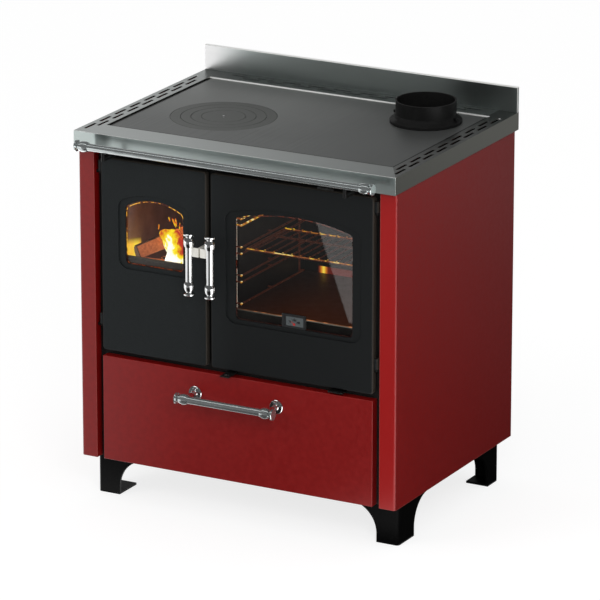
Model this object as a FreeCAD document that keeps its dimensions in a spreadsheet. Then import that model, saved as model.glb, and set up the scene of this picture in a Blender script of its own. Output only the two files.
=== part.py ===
import FreeCAD, Part
import math
import os
import Sketcher

# Wood-burning cooking stove, in millimetres. X runs to the right, Y to the back, Z up.
# The origin is on the floor, in the middle of the stove's outer box.

SIZES = {
    # Worktop frame, folded from stainless sheet
    "worktop_wide": 800, "worktop_deep": 600, "worktop_high": 860, "worktop_sheet": 2,
    "apron_high": 40, "side_border": 42, "front_border": 72, "rear_border": 60,
    "ledge_wide": 14, "splash_high": 59, "splash_thick": 8, "splash_sheet": 1.5,
    "vent_long": 47, "vent_wide": 6.8, "vent_round": 3.2,
    "vent_edge_inset": 14, "vent_row_pitch": 13.6, "vent_front_inset": 25.7, "vent_back_inset": 66.7,
    "vent_rear_inset": 23, "vent_rear_end": 80.4,
    # Cooktop plate, hob rings and flue collar
    "plate_thick": 10, "flue_hole_gap": 1, "plate_sink": 2.5, "plate_gap": 3, "seal_high": 4, "seal_wide": 8,
    "hob_side_inset": 185.5, "hob_front_inset": 191.7, "ring_outer_radius": 120.4,
    "ring_middle_radius": 96.6,
    "ring_inner_radius": 73.2, "lid_radius": 50, "ring_seat": 5, "ring_gap": 0.4, "ring_bevel": 0.8,
    "lid_hole_radius": 4, "lid_hole_deep": 4, "lid_pin_radius": 2.2, "lid_pin_high": 3,
    "flue_side_inset": 107.3, "flue_rear_inset": 95.4, "flue_bore_radius": 65.2, "flue_wall": 2.8,
    "collar_high": 50.5, "flange_radius": 81, "flange_high": 6, "skirt_high": 13, "skirt_radius": 72,
    "collar_root_high": 19, "collar_bolt_circle": 76, "collar_bolt_radius": 2.5,
    # Red casing
    "panel_inset": 3, "panel_sheet": 1.5, "flange_wide": 40, "face_setback": 13.4, "panel_bend": 6,
    "panel_rear_setback": 13, "rear_return": 20, "foot_high": 98.5, "base_sheet": 2,
    "rear_vent_long": 90, "rear_vent_wide": 6, "rear_vent_pitch": 16, "rear_vent_high": 200,
    "rear_vent_side_share": 0.6,
    "screw_radius": 2, "screw_head_radius": 4, "screw_head": 2.5, "screw_long": 9, "screw_end_inset": 60,
    # Doors, cast iron
    "door_high": 447, "door_side_gap": 17, "door_top_gap": 16, "door_low_gap": 14, "door_split": 11.5,
    "fire_door_wide": 266, "door_thick": 16, "door_plate": 8, "door_rim": 12,
    "door_corner": 8, "door_edge_round": 4, "recess_deep": 3, "recess_corner": 25, "window_corner": 10,
    "fire_window_left": 60.5, "fire_window_right": 59, "fire_window_low": 208,
    "fire_window_top": 85, "fire_window_rise": 22, "fire_recess_side": 16.5, "fire_recess_end": 11,
    "oven_window_left": 60.5, "oven_window_right": 52, "oven_window_low": 121,
    "oven_window_top": 71.5, "oven_window_rise": 21.5, "oven_recess_side": 23, "oven_recess_end": 10,
    "glass_thick": 4, "glass_lap": 10, "glass_gap": 0.3, "retainer_wide": 16, "retainer_sheet": 2,
    "retainer_screw_inset": 4, "retainer_screw_deep": 3, "rope_radius": 3, "rope_gap": 0.3,
    # Hinges
    "hinge_offset": 4, "hinge_back": 10, "knuckle_radius": 6.5, "knuckle_long": 24,
    "pin_radius": 3, "pin_gap": 0.05, "ear_high": 6, "ear_gap": 0.3, "upper_hinge_inset": 22,
    "lower_hinge_inset": 70, "ear_edge_gap": 0.3,
    # Turned bars: door handles, drawer handle and handrail
    "bar_radius": 8.5, "barrel_radius": 12.5, "barrel_long": 20.5, "barrel_end_radius": 10.3,
    "barrel_bulge_radius": 26, "neck_radius": 7.5, "neck_long": 3.5, "cap_radius": 12.8,
    "cap_long": 7, "cap_flare": 3, "cap_bevel": 1, "handle_long": 142, "drawer_bar_long": 246,
    "rail_end_inset": 31, "rail_axis_reach": 43, "rail_drop": 20,
    "post_radius": 6, "post_foot_radius": 8, "rosette_radius": 16, "rosette_thick": 3.5,
    "rosette_step": 4.5, "rosette_second": 3, "rail_leg_gap": 3, "rail_leg_thick": 4, "post_gap": 0.1,
    "rail_stem_radius": 4, "rail_bracket_inset": 69,
    # Door handles
    "handle_low": 174, "handle_reach": 39, "handle_side": 20.4, "arm_sheet": 3, "arm_high": 20.6,
    "arm_low": 264, "arm_gap": 0.5, "pivot_radius": 4, "pivot_deep": 10, "tongue_long": 16,
    "latch_slot_drop": 16, "latch_slot_side": 4.5, "latch_box_sheet": 2, "latch_box_deep": 18,
    # Drawer
    "drawer_return": 21.7, "drawer_sheet": 1.5, "drawer_round_share": 0.9,
    "drawer_box_side": 20,
    "drawer_box_low": 13.5, "drawer_box_top": 23, "drawer_box_deep": 525, "drawer_clear": 5,
    "drawer_handle_drop": 51, "drawer_handle_reach": 52.4, "runner_sheet": 2, "runner_high": 40,
    "runner_ledge": 14, "runner_gap": 0.3,
    # Front frame and body shell
    "frame_sheet": 4, "shell_sheet": 3, "shell_low_inset": 15, "shell_rear_inset": 2,
    "fire_open_left": 22, "fire_open_right": 22, "fire_open_top": 24,
    # Firebox
    "divider_offset": 10, "brick_thick": 30, "brick_gap": 0.5, "brick_top_gap": 41.5,
    "brick_rear_gap": 8,
    "shelf_high": 105, "shelf_thick": 10, "shelf_border": 60, "base_brick_high": 25,
    "grate_thick": 12, "grate_lap": 12, "grate_slot": 6, "grate_edge": 14,
    "guard_high": 61, "guard_thick": 6, "ash_pan_sheet": 1.5, "ash_pan_high": 80, "ash_pan_clear": 8,
    "ash_pan_skid": 6, "ash_pan_front": 20, "ash_pan_rear": 80, "ash_pan_lip": 18,
    # Oven
    "oven_left_inset": 47.5, "oven_right_inset": 39, "oven_low_inset": 138, "oven_top_inset": 59,
    "oven_deep": 324,
    "oven_sheet": 2, "oven_front": 38, "seam": 0.2, "wire_radius": 2.2, "stub_radius": 1.8,
    "guide_offset": 12,
    "guide_first": 9.5, "guide_top_gap": 45.5, "guide_pair": 15, "guide_front": 8, "guide_rear": 26,
    "rack_rod_radius": 3, "rack_cross_radius": 2.6, "rack_tail": 4, "rack_wire_radius": 1.5,
    "rack_front": 32, "rack_rear": 117,
    "rack_wire_pitch": 22, "rack_side": 13.5,
    # Flue damper, air lever and soot slide
    "flue_wall_back": 4, "flue_window_wide": 130, "flue_window_high": 60, "damper_lap": 8,
    "damper_sheet": 3, "damper_rod_radius": 3, "damper_side_inset": 77, "damper_rise": 4.5,
    "damper_tab_wide": 38, "damper_tab_high": 5, "damper_tab_thick": 4, "damper_tab_back": 7,
    "slide_gap": 0.3, "air_inset": 46, "air_wide": 22, "air_sheet": 3, "air_reach": 26,
    "air_travel": 30, "air_hole_radius": 13, "air_plate_margin": 12, "air_plate_deep": 110,
    "air_plate_sheet": 2, "air_stop_gap": 5, "air_hole_pitch": 60, "slide_rise": 5.5,
    "guide_strip": 6, "soot_side_inset": 51, "soot_wide": 36, "soot_reach": 5, "soot_deep": 300,
    # Feet
    "foot_side_inset": 15, "foot_front_inset": 46, "foot_rear_inset": 34, "foot_face_wide": 55,
    "foot_side_deep": 75, "foot_rear_deep": 52, "foot_wall": 6, "foot_edge_high": 20,
    "foot_curve": 67, "foot_round": 8, "foot_top": 6, "foot_sole": 5, "bolt_radius": 3,
    "bolt_head_radius": 6, "bolt_head": 4, "bolt_gap": 0.2, "bolt_inset": 36,
    # Thermometer and heat shields
    "gauge_wide": 58, "gauge_high": 31, "gauge_thick": 5, "gauge_rim": 5, "gauge_face_sink": 1,
    "shield_sheet": 1, "shield_gap": 24, "shield_top_gap": 67.5, "shield_end": 60,
    # Length by which every cut runs past the solid that it opens
    "overrun": 5,
}

VENT_SIDE_COUNT = 8
VENT_REAR_COUNT = 10
REAR_VENT_ROWS = 6
SCREWS_PER_SIDE = 4
GUIDE_LEVELS = 4
GRATE_SLOTS = 13
AIR_HOLES = 3
RACK_LEVEL = 2

doc = FreeCAD.newDocument("cooking_stove")
sheet = doc.addObject("Spreadsheet::Sheet", "Sizes")
for row, (alias, amount) in enumerate(SIZES.items(), 1):
    sheet.set("A%d" % row, alias)
    sheet.set("B%d" % row, str(amount))
    sheet.setAlias("B%d" % row, alias)
doc.recompute()


class Size:
    """A length that knows its number and the expression that gives it."""

    def __init__(self, text, value):
        self.text = text
        self.value = float(value)

    def __add__(self, other):
        return Size("(%s + %s)" % (self.text, sized(other).text), self.value + sized(other).value)

    def __sub__(self, other):
        return Size("(%s - %s)" % (self.text, sized(other).text), self.value - sized(other).value)

    def __mul__(self, other):
        return Size("(%s * %s)" % (self.text, sized(other).text), self.value * sized(other).value)

    def __truediv__(self, other):
        return Size("(%s / %s)" % (self.text, sized(other).text), self.value / sized(other).value)

    def __neg__(self):
        return Size("(0 - %s)" % self.text, -self.value)

    def __radd__(self, other):
        return sized(other) + self

    def __rsub__(self, other):
        return sized(other) - self

    def __rmul__(self, other):
        return sized(other) * self


def sized(amount):
    if isinstance(amount, Size):
        return amount
    return Size("(%r)" % float(amount), amount)


def root_of(amount):
    return Size("sqrt(%s)" % amount.text, math.sqrt(amount.value))


class Cells:
    """Gives every alias of the sheet as a Size."""

    def __getattr__(self, alias):
        return Size("Sizes." + alias, SIZES[alias])


s = Cells()


def bind(piece, path, amount):
    piece.setExpression(path, sized(amount).text)


def place(piece, x, y, z):
    bind(piece, "Placement.Base.x", x)
    bind(piece, "Placement.Base.y", y)
    bind(piece, "Placement.Base.z", z)


def box(name, x, y, z):
    piece = doc.addObject("Part::Box", name)
    bind(piece, "Length", x[1] - x[0])
    bind(piece, "Width", y[1] - y[0])
    bind(piece, "Height", z[1] - z[0])
    place(piece, x[0], y[0], z[0])
    return piece


AXIS_TURNS = {
    "x": FreeCAD.Rotation(FreeCAD.Vector(0, 1, 0), 90),
    "y": FreeCAD.Rotation(FreeCAD.Vector(1, 0, 0), -90),
    "z": FreeCAD.Rotation(),
}


def rod(name, radius, start, axis, length):
    """A round bar that runs from its start towards plus X, Y or Z."""
    piece = doc.addObject("Part::Cylinder", name)
    piece.Placement = FreeCAD.Placement(FreeCAD.Vector(), AXIS_TURNS[axis])
    bind(piece, "Radius", radius)
    bind(piece, "Height", length)
    place(piece, *start)
    return piece


def join(name, pieces):
    piece = doc.addObject("Part::MultiFuse", name)
    piece.Shapes = pieces
    piece.Refine = True
    return piece


def group(name, pieces):
    piece = doc.addObject("Part::Compound", name)
    piece.Links = pieces
    return piece


def cut(name, base, tools):
    piece = doc.addObject("Part::Cut", name)
    piece.Base = base
    piece.Tool = tools[0] if len(tools) == 1 else group(name + "_cuts", tools)
    return piece


def mirrored(name, source):
    piece = doc.addObject("Part::Mirroring", name)
    piece.Source = source
    piece.Normal = FreeCAD.Vector(1, 0, 0)
    return piece


def rounded(x, z, corner):
    """Corner points of a rounded rectangle; a third value is the radius to the next point."""
    return [
        (x[0] + corner, z[0]), (x[1] - corner, z[0], corner, "left"),
        (x[1], z[0] + corner), (x[1], z[1] - corner, corner, "left"),
        (x[1] - corner, z[1]), (x[0] + corner, z[1], corner, "left"),
        (x[0], z[1] - corner), (x[0], z[0] + corner, corner, "left"),
    ]


def square(x, z):
    return [(x[0], z[0]), (x[1], z[0]), (x[1], z[1]), (x[0], z[1])]


def arched(x, low, side, rise, corner):
    """Outline with an arched head that rises from the tops of its sides."""
    half = (x[1] - x[0]) / 2
    middle = (x[0] + x[1]) / 2
    radius = (half * half + rise * rise) / (rise * 2)
    centre = low + side + rise - radius
    reach = radius - corner
    corner_out = half - corner
    corner_up = root_of(reach * reach - corner_out * corner_out)
    touch_out = corner_out * radius / reach
    touch_up = corner_up * radius / reach
    return [
        (x[0] + corner, low), (x[1] - corner, low, corner, "left"),
        (x[1], low + corner), (x[1], centre + corner_up, corner, "left"),
        (middle + touch_out, centre + touch_up, radius, "left"),
        (middle - touch_out, centre + touch_up, corner, "left"),
        (x[0], centre + corner_up), (x[0], low + corner, corner, "left"),
    ]


def arc_between(start, end, radius, side):
    """The shorter arc from start to end, and whether its drawn start is the given start."""
    middle = (start + end) * 0.5
    chord = end - start
    offset = math.sqrt(max(0, radius ** 2 - chord.Length ** 2 / 4))
    left = FreeCAD.Vector(-chord.y, chord.x, 0).normalize()
    centre = middle + left * (offset if side == "left" else -offset)
    first, last = (start, end) if side == "left" else (end, start)
    first_angle = math.atan2(first.y - centre.y, first.x - centre.x)
    last_angle = math.atan2(last.y - centre.y, last.x - centre.x)
    if last_angle < first_angle:
        last_angle += 2 * math.pi
    circle = Part.Circle(centre, FreeCAD.Vector(0, 0, 1), radius)
    return Part.ArcOfCircle(circle, first_angle, last_angle), side == "left"


def draw(sketch, points):
    """Draws a closed outline and ties each of its corners and radii to the sheet."""
    base = sketch.GeometryCount
    count = len(points)
    corners = [FreeCAD.Vector(sized(point[0]).value, sized(point[1]).value, 0) for point in points]
    curves = []
    starts = []
    for index, point in enumerate(points):
        start, end = corners[index], corners[(index + 1) % count]
        if len(point) == 2:
            curves.append(Part.LineSegment(start, end))
            starts.append(1)
        else:
            arc, forward = arc_between(start, end, point[2].value, point[3])
            curves.append(arc)
            starts.append(1 if forward else 2)
    sketch.addGeometry(curves, False)
    ties = []
    bound = []
    for index, point in enumerate(points):
        following = (index + 1) % count
        here, there = base + index, base + following
        ties.append(Sketcher.Constraint("Coincident", here, 3 - starts[index], there, starts[following]))
        bound.append(None)
        ties.append(Sketcher.Constraint("DistanceX", here, starts[index], corners[index].x))
        bound.append(point[0])
        ties.append(Sketcher.Constraint("DistanceY", here, starts[index], corners[index].y))
        bound.append(point[1])
        if len(point) > 2:
            ties.append(Sketcher.Constraint("Radius", here, point[2].value))
            bound.append(point[2])
    first = sketch.ConstraintCount
    sketch.addConstraint(ties)
    for index, amount in enumerate(bound):
        if isinstance(amount, Size):
            bind(sketch, "Constraints[%d]" % (first + index), amount)


def sketch_on(body, name, plane, offset, outlines):
    sketch = body.newObject("Sketcher::SketchObject", name)
    origin = [item for item in body.Origin.OriginFeatures if item.Role == plane + "_Plane"]
    sketch.AttachmentSupport = (origin[0], [""])
    sketch.MapMode = "FlatFace"
    bind(sketch, "AttachmentOffset.Base.z", offset)
    for points in outlines:
        draw(sketch, points)
    return sketch


def new_body(name):
    return doc.addObject("PartDesign::Body", name)


def extruded(body, kind, name, plane, span, outlines):
    """A pad or pocket that runs from span[0] to span[1] along the plane's axis."""
    backwards = plane == "XZ"
    offset = -span[0] if backwards else span[0]
    feature = body.newObject("PartDesign::" + kind, name)
    feature.Profile = sketch_on(body, name + "_sketch", plane, offset, outlines)
    bind(feature, "Length", span[1] - span[0])
    feature.Reversed = backwards if kind == "Pad" else not backwards
    return feature


def pad(body, name, plane, span, *outlines):
    return extruded(body, "Pad", name, plane, span, outlines)


def pocket(body, name, plane, span, *outlines):
    doc.recompute()
    before = body.Shape.Volume
    feature = extruded(body, "Pocket", name, plane, span, outlines)
    doc.recompute()
    if not body.Shape.Volume < before:
        raise RuntimeError(name + " cuts nothing")
    return feature


def revolve(body, name, axis, points):
    sketch = sketch_on(body, name + "_sketch", "XZ", 0, [points])
    feature = body.newObject("PartDesign::Revolution", name)
    feature.Profile = sketch
    feature.ReferenceAxis = (sketch, [axis])
    feature.Angle = 360
    return feature


def fillet(body, name, base, radius, wanted):
    """Rounds the edges of the base feature that the wanted test picks."""
    doc.recompute()
    edges = ["Edge%d" % number for number, edge in enumerate(base.Shape.Edges, 1) if wanted(edge)]
    feature = body.newObject("PartDesign::Fillet", name)
    feature.Base = (base, edges)
    bind(feature, "Radius", radius)
    return feature


def lies_at(edge, axis, amount):
    low = getattr(edge.BoundBox, axis + "Min")
    high = getattr(edge.BoundBox, axis + "Max")
    return abs(low - amount.value) < 1e-4 and abs(high - amount.value) < 1e-4


# Planes that many pieces share
half = s.worktop_wide / 2
rail_reach = s.rail_axis_reach + s.cap_radius
front = (rail_reach - s.worktop_deep) / 2
rear = front + s.worktop_deep
under_sheet = s.worktop_high - s.worktop_sheet
apron_low = s.worktop_high - s.apron_high
opening_half = half - s.side_border
opening_front = front + s.front_border
opening_rear = rear - s.rear_border
plate_half = opening_half - s.plate_gap
plate_y = (opening_front + s.plate_gap, opening_rear - s.plate_gap)
plate_top = s.worktop_high - s.plate_sink
plate_low = plate_top - s.plate_thick
seat_z = plate_low + s.plate_thick / 2
ledge_top = plate_low - s.seal_high
ledge_low = ledge_top - s.worktop_sheet
panel_half = half - s.panel_inset
panel_inner = panel_half - s.panel_sheet
face_half = panel_half - s.flange_wide
face = front + s.face_setback
panel_rear = rear - s.panel_rear_setback
base_top = s.foot_high + s.base_sheet
door_top = apron_low - s.door_top_gap
door_low = door_top - s.door_high
drawer_top = door_low - s.door_low_gap
door_half = face_half - s.door_side_gap
fire_door = (-door_half, -door_half + s.fire_door_wide)
oven_door = (fire_door[1] + s.door_split, door_half)
door_rear = face + s.door_thick
pocket_floor = face + s.door_plate
frame_front = door_rear + s.rope_gap * 2 + s.rope_radius * 2
frame_rear = frame_front + s.frame_sheet
shell_half = door_half
shell_rear = opening_rear - s.shell_rear_inset
shell_low = door_low + s.shell_low_inset
shell_floor = shell_low + s.shell_sheet
divider_x = (fire_door[1] + s.divider_offset, fire_door[1] + s.divider_offset + s.shell_sheet)
oven_x = (oven_door[0] + s.oven_left_inset, oven_door[1] - s.oven_right_inset)
oven_y = (front + s.oven_front, front + s.oven_front + s.oven_deep)
oven_z = (door_low + s.oven_low_inset, door_top - s.oven_top_inset)
fire_open_x = (fire_door[0] + s.fire_open_left, fire_door[1] - s.fire_open_right)
handle_z = (door_low + s.handle_low, door_low + s.handle_low + s.handle_long)
arm_z = (door_low + s.arm_low, door_low + s.arm_low + s.arm_high)
arm_middle = (arm_z[0] + arm_z[1]) / 2
pivot_y = pocket_floor
tongue_y = frame_front + s.tongue_long
latch_x = (fire_door[1] - s.latch_slot_side, oven_door[0] + s.latch_slot_side)
latch_z = (arm_z[0] - s.latch_slot_drop, arm_z[1] + s.latch_slot_side)
latch_box_x = (latch_x[0] - s.latch_box_sheet, latch_x[1] + s.latch_box_sheet)
latch_box_z = (latch_z[0] - s.latch_box_sheet, latch_z[1] + s.latch_box_sheet)
latch_box_rear = frame_rear + s.latch_box_deep
box_half = door_half - s.drawer_box_side
box_z = (s.foot_high + s.drawer_box_low, drawer_top - s.drawer_box_top)
slide_z = (drawer_top + s.slide_rise, drawer_top + s.slide_rise + s.air_sheet)
air_middle = divider_x[1] + s.air_inset
air_x = (air_middle - s.air_wide / 2, air_middle + s.air_wide / 2)
soot_middle = oven_x[1] - s.soot_side_inset
soot_x = (soot_middle - s.soot_wide / 2, soot_middle + s.soot_wide / 2)
damper_x = oven_x[1] - s.damper_side_inset
damper_z = door_top + s.damper_rise
air_plate_front = frame_rear + s.air_travel + s.air_stop_gap
air_plate_y = (air_plate_front, air_plate_front + s.air_plate_deep + s.air_travel)
over = s.overrun


def widened(span, amount):
    return (span[0] - amount, span[1] + amount)


# Worktop frame with its turned-down apron, the ledge for the cooktop plate and the vent slots
def vent_slot(middle, halves):
    body = new_body("vent_slot")
    place(body, middle[0], middle[1], 0)
    pad(body, "vent", "XY", (under_sheet - over, s.worktop_high + over),
        rounded((-halves[0], halves[0]), (-halves[1], halves[1]), s.vent_round))
    return body


def vent_slots():
    """Two staggered rows along each side and along the rear edge."""
    slots = []
    long_half, wide_half = s.vent_long / 2, s.vent_wide / 2
    first = front + s.vent_front_inset + long_half
    side_pitch = (rear - s.vent_back_inset - long_half - first) / (VENT_SIDE_COUNT - 1)
    rear_pitch = (half - s.vent_rear_end - long_half) * 2 / (VENT_REAR_COUNT - 1)
    for row in (0, 1):
        column = half - s.vent_edge_inset - s.vent_row_pitch * row
        for index in range(VENT_SIDE_COUNT - row):
            middle = first + side_pitch * (index + row / 2)
            for side in (-1, 1):
                slots.append(vent_slot((column * side, middle), (wide_half, long_half)))
        line = rear - s.vent_rear_inset - s.vent_row_pitch * row
        for index in range(VENT_REAR_COUNT - row):
            column = rear_pitch * (index - (VENT_REAR_COUNT - 1 - row) / 2)
            slots.append(vent_slot((column, line), (long_half, wide_half)))
    return slots


def worktop_frame():
    skin = cut("worktop_skin",
               box("worktop_block", (-half, half), (front, rear), (apron_low, s.worktop_high)),
               [box("worktop_hollow", widened((-half, half), -s.worktop_sheet),
                    widened((front, rear), -s.worktop_sheet), (apron_low - over, under_sheet))])
    opening_x = (-opening_half, opening_half)
    opening_y = (opening_front, opening_rear)
    lip = box("worktop_lip", widened(opening_x, s.worktop_sheet), widened(opening_y, s.worktop_sheet),
              (ledge_low, s.worktop_high))
    well = box("worktop_well", opening_x, opening_y, (ledge_top, s.worktop_high + over))
    ledge_y = (opening_front + s.ledge_wide, shell_rear - s.shell_sheet)
    ledge_hole = box("ledge_hole", widened((-shell_half, shell_half), -s.shell_sheet), ledge_y,
                     (ledge_low - over, s.worktop_high))
    opening = join("worktop_opening", [well, ledge_hole])
    return cut("worktop_frame", join("worktop_sheets", [skin, lip]), [opening] + vent_slots())


def backsplash():
    outer = box("splash_block", (-half, half), (rear - s.splash_thick, rear),
                (s.worktop_high, s.worktop_high + s.splash_high))
    inner = box("splash_hollow", (-half - over, half + over),
                (rear - s.splash_thick + s.splash_sheet, rear - s.splash_sheet),
                (s.worktop_high - over, s.worktop_high + s.splash_high - s.splash_sheet))
    return cut("backsplash", outer, [inner])


# Cooktop plate and what lies in it
hob = (-plate_half + s.hob_side_inset, plate_y[0] + s.hob_front_inset)
flue = (plate_half - s.flue_side_inset, plate_y[1] - s.flue_rear_inset)


def collar_bolt_places():
    return [(flue[0] + s.collar_bolt_circle * side, flue[1]) for side in (-1, 1)]


def cooktop_plate():
    slab = box("plate_slab", (-plate_half, plate_half), plate_y, (plate_low, plate_top))
    below = plate_low - over
    through = s.plate_thick + over * 2
    cuts = [
        rod("hob_seat", s.ring_outer_radius, (hob[0], hob[1], seat_z), "z", s.plate_thick),
        rod("hob_hole", s.ring_outer_radius - s.ring_seat, (hob[0], hob[1], below), "z", through),
        rod("flue_hole", s.flue_bore_radius + s.flue_hole_gap, (flue[0], flue[1], below), "z", through),
    ]
    for x, y in collar_bolt_places():
        cuts.append(rod("collar_bolt_hole", s.collar_bolt_radius + s.bolt_gap, (x, y, below), "z", through))
    return cut("cooktop_plate", slab, cuts)


def cooktop_rope_seal():
    outer = box("plate_seal_block", (-plate_half, plate_half), plate_y, (ledge_top, plate_low))
    inner = box("plate_seal_hollow", widened((-plate_half, plate_half), -s.seal_wide),
                widened(plate_y, -s.seal_wide), (ledge_top - over, plate_low + over))
    return cut("cooktop_rope_seal", outer, [inner])


def hob_ring(name, radius, hole):
    """A flat ring that hangs by its stepped edge and carries the next one on its own step."""
    outer = radius - s.ring_gap
    lower = outer - s.ring_seat
    bevel = s.ring_bevel
    body = new_body(name)
    place(body, hob[0], hob[1], 0)
    revolve(body, name + "_section", "V_Axis", [
        (hole - s.ring_seat, plate_low), (lower, plate_low), (lower, seat_z), (outer, seat_z),
        (outer, plate_top - bevel), (outer - bevel, plate_top), (hole + bevel, plate_top),
        (hole, plate_top - bevel), (hole, seat_z), (hole - s.ring_seat, seat_z)])
    return body


def hob_lid():
    outer = s.lid_radius - s.ring_gap
    lower = outer - s.ring_seat
    bevel = s.ring_bevel
    floor = plate_top - s.lid_hole_deep
    pin_top = floor + s.lid_pin_high
    body = new_body("hob_lid")
    place(body, hob[0], hob[1], 0)
    revolve(body, "lid_section", "V_Axis", [
        (0, plate_low), (lower, plate_low), (lower, seat_z), (outer, seat_z),
        (outer, plate_top - bevel), (outer - bevel, plate_top), (s.lid_hole_radius, plate_top),
        (s.lid_hole_radius, floor), (s.lid_pin_radius, floor), (s.lid_pin_radius, pin_top), (0, pin_top)])
    return body


def flue_collar():
    tube = s.flue_bore_radius + s.flue_wall
    body = new_body("collar_casting")
    place(body, flue[0], flue[1], plate_top)
    revolve(body, "collar_section", "V_Axis", [
        (s.flue_bore_radius, 0), (s.flange_radius, 0), (s.flange_radius, s.flange_high),
        (s.skirt_radius, s.skirt_high), (tube, s.collar_root_high),
        (tube, s.collar_high), (s.flue_bore_radius, s.collar_high)])
    holes = []
    for x, y in collar_bolt_places():
        holes.append(rod("collar_hole", s.collar_bolt_radius + s.bolt_gap, (x, y, plate_top - over), "z",
                         s.collar_high))
        holes.append(rod("collar_spot_face", s.collar_bolt_radius * 2 + s.bolt_gap,
                         (x, y, plate_top + s.skirt_high), "z", s.collar_root_high))
    return cut("flue_collar", body, holes)


def flue_collar_bolts():
    bolts = []
    head_low = plate_top + s.skirt_high
    for x, y in collar_bolt_places():
        bolts.append(join("collar_bolt", [
            rod("collar_bolt_shank", s.collar_bolt_radius, (x, y, plate_low), "z", head_low - plate_low),
            rod("collar_bolt_head", s.collar_bolt_radius * 2, (x, y, head_low), "z", s.bolt_head)]))
    return group("flue_collar_bolts", bolts)


# Red casing
def left_side_panel():
    """One folded sheet: front flange with its return, the side and the rear return."""
    bend = s.panel_bend
    sheet_thick = s.panel_sheet
    body = new_body("left_side_panel")
    pad(body, "panel_fold", "XY", (s.foot_high, under_sheet), [
        (-face_half, face), (-face_half, frame_rear), (-face_half - sheet_thick, frame_rear),
        (-face_half - sheet_thick, face + sheet_thick),
        (-panel_half + bend, face + sheet_thick, bend - sheet_thick, "left"),
        (-panel_inner, face + bend), (-panel_inner, panel_rear - sheet_thick),
        (-panel_half + s.rear_return, panel_rear - sheet_thick), (-panel_half + s.rear_return, panel_rear),
        (-panel_half, panel_rear), (-panel_half, face + bend, bend, "left"),
        (-panel_half + bend, face)])
    return body


def rear_panel():
    x = (-panel_inner, panel_inner)
    y = (panel_rear, panel_rear + s.panel_sheet)
    plate = box("rear_sheet", x, y, (s.foot_high, under_sheet))
    cuts = []
    for side in (-1, 0, 1):
        for index in range(REAR_VENT_ROWS):
            for low in (s.foot_high + s.rear_vent_high, under_sheet - s.rear_vent_high):
                middle = panel_half * side * s.rear_vent_side_share
                height = low + s.rear_vent_pitch * (index - (REAR_VENT_ROWS - 1) / 2)
                cuts.append(box("rear_vent", widened((middle, middle), s.rear_vent_long / 2),
                                widened(y, over), (height, height + s.rear_vent_wide)))
    for x_place, z_place in screw_places():
        cuts.append(rod("screw_hole", s.screw_radius + s.bolt_gap, (x_place, panel_rear - over, z_place), "y",
                        over * 2 + s.panel_sheet))
    return cut("rear_panel", plate, cuts)


def screw_places():
    """Screws up both edges of the rear panel, in the middle of the side panels' returns."""
    low = s.foot_high + s.screw_end_inset
    step = (under_sheet - s.screw_end_inset - low) / (SCREWS_PER_SIDE - 1)
    column = panel_half - s.rear_return / 2
    return [(column * side, low + step * index) for side in (-1, 1) for index in range(SCREWS_PER_SIDE)]


def panel_screws():
    screws = []
    outer = panel_rear + s.panel_sheet
    for x, z in screw_places():
        screws.append(join("panel_screw", [
            rod("screw_shank", s.screw_radius, (x, outer - s.screw_long, z), "y", s.screw_long),
            rod("screw_cap", s.screw_head_radius, (x, outer, z), "y", s.screw_head)]))
    return group("panel_screws", screws)


def with_screw_holes(name, panel, side):
    holes = []
    for x, z in screw_places():
        if x.value * side > 0:
            holes.append(rod("return_hole", s.screw_radius + s.bolt_gap,
                             (x, panel_rear - over, z), "y", over * 2))
    return cut(name, panel, holes)


def base_plate():
    plate = box("base_sheet_plate", (-panel_inner, panel_inner), (frame_rear, panel_rear - s.panel_sheet),
                (s.foot_high, base_top))
    holes = []
    for x, y in foot_bolt_places():
        holes.append(rod("base_hole", s.bolt_radius + s.bolt_gap, (x, y, s.foot_high - over), "z", over * 3))
    return cut("base_plate", plate, holes)


# Feet: two curved cheeks under a bolted top, on a flat sole
foot_x = panel_half - s.foot_side_inset
foot_front = face + s.foot_front_inset
foot_rear = panel_rear - s.foot_rear_inset


def cheek(start, wide, direction):
    """Upright cheek with a hollow curve that widens towards its top, towards plus or minus."""
    turn = "right" if direction > 0 else "left"
    curve = s.foot_curve
    return [
        (start, sized(0)), (start + wide * direction, sized(0)),
        (start + wide * direction, s.foot_edge_high, curve, turn),
        (start + (wide + curve) * direction, s.foot_edge_high + curve),
        (start + (wide + curve) * direction, s.foot_high), (start, s.foot_high)]


def foot(name, side, at_front):
    corner_x = foot_x * side
    inward = -side
    corner_y = foot_front if at_front else foot_rear
    along = 1 if at_front else -1
    deep = s.foot_side_deep if at_front else s.foot_rear_deep
    wide = s.foot_face_wide
    wall = s.foot_wall
    curve = s.foot_curve
    body = new_body(name + "_casting")

    def ordered(start, length, direction):
        return (start, start + length) if direction > 0 else (start - length, start)

    face_y = ordered(corner_y, wall, along)
    side_x = ordered(corner_x, wall, inward)
    pad(body, name + "_face", "XZ", face_y, cheek(corner_x, wide, inward))
    pad(body, name + "_side", "YZ", side_x, cheek(corner_y, deep, along))
    pad(body, name + "_top", "XY", (s.foot_high - s.foot_top, s.foot_high),
        square(ordered(corner_x, wide + curve, inward), ordered(corner_y, deep + curve, along)))
    sole = pad(body, name + "_sole", "XY", (sized(0), s.foot_sole),
               square(ordered(corner_x, wide, inward), ordered(corner_y, deep, along)))
    fillet(body, name + "_round", sole, s.foot_round,
           lambda edge: lies_at(edge, "X", corner_x) and lies_at(edge, "Y", corner_y))
    holes = []
    below = s.foot_high - s.foot_top - over
    for x, y in bolts_of_foot(side, at_front):
        holes.append(rod("foot_hole", s.bolt_radius + s.bolt_gap, (x, y, below), "z", s.foot_top + over * 2))
    return cut(name, body, holes)


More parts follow.
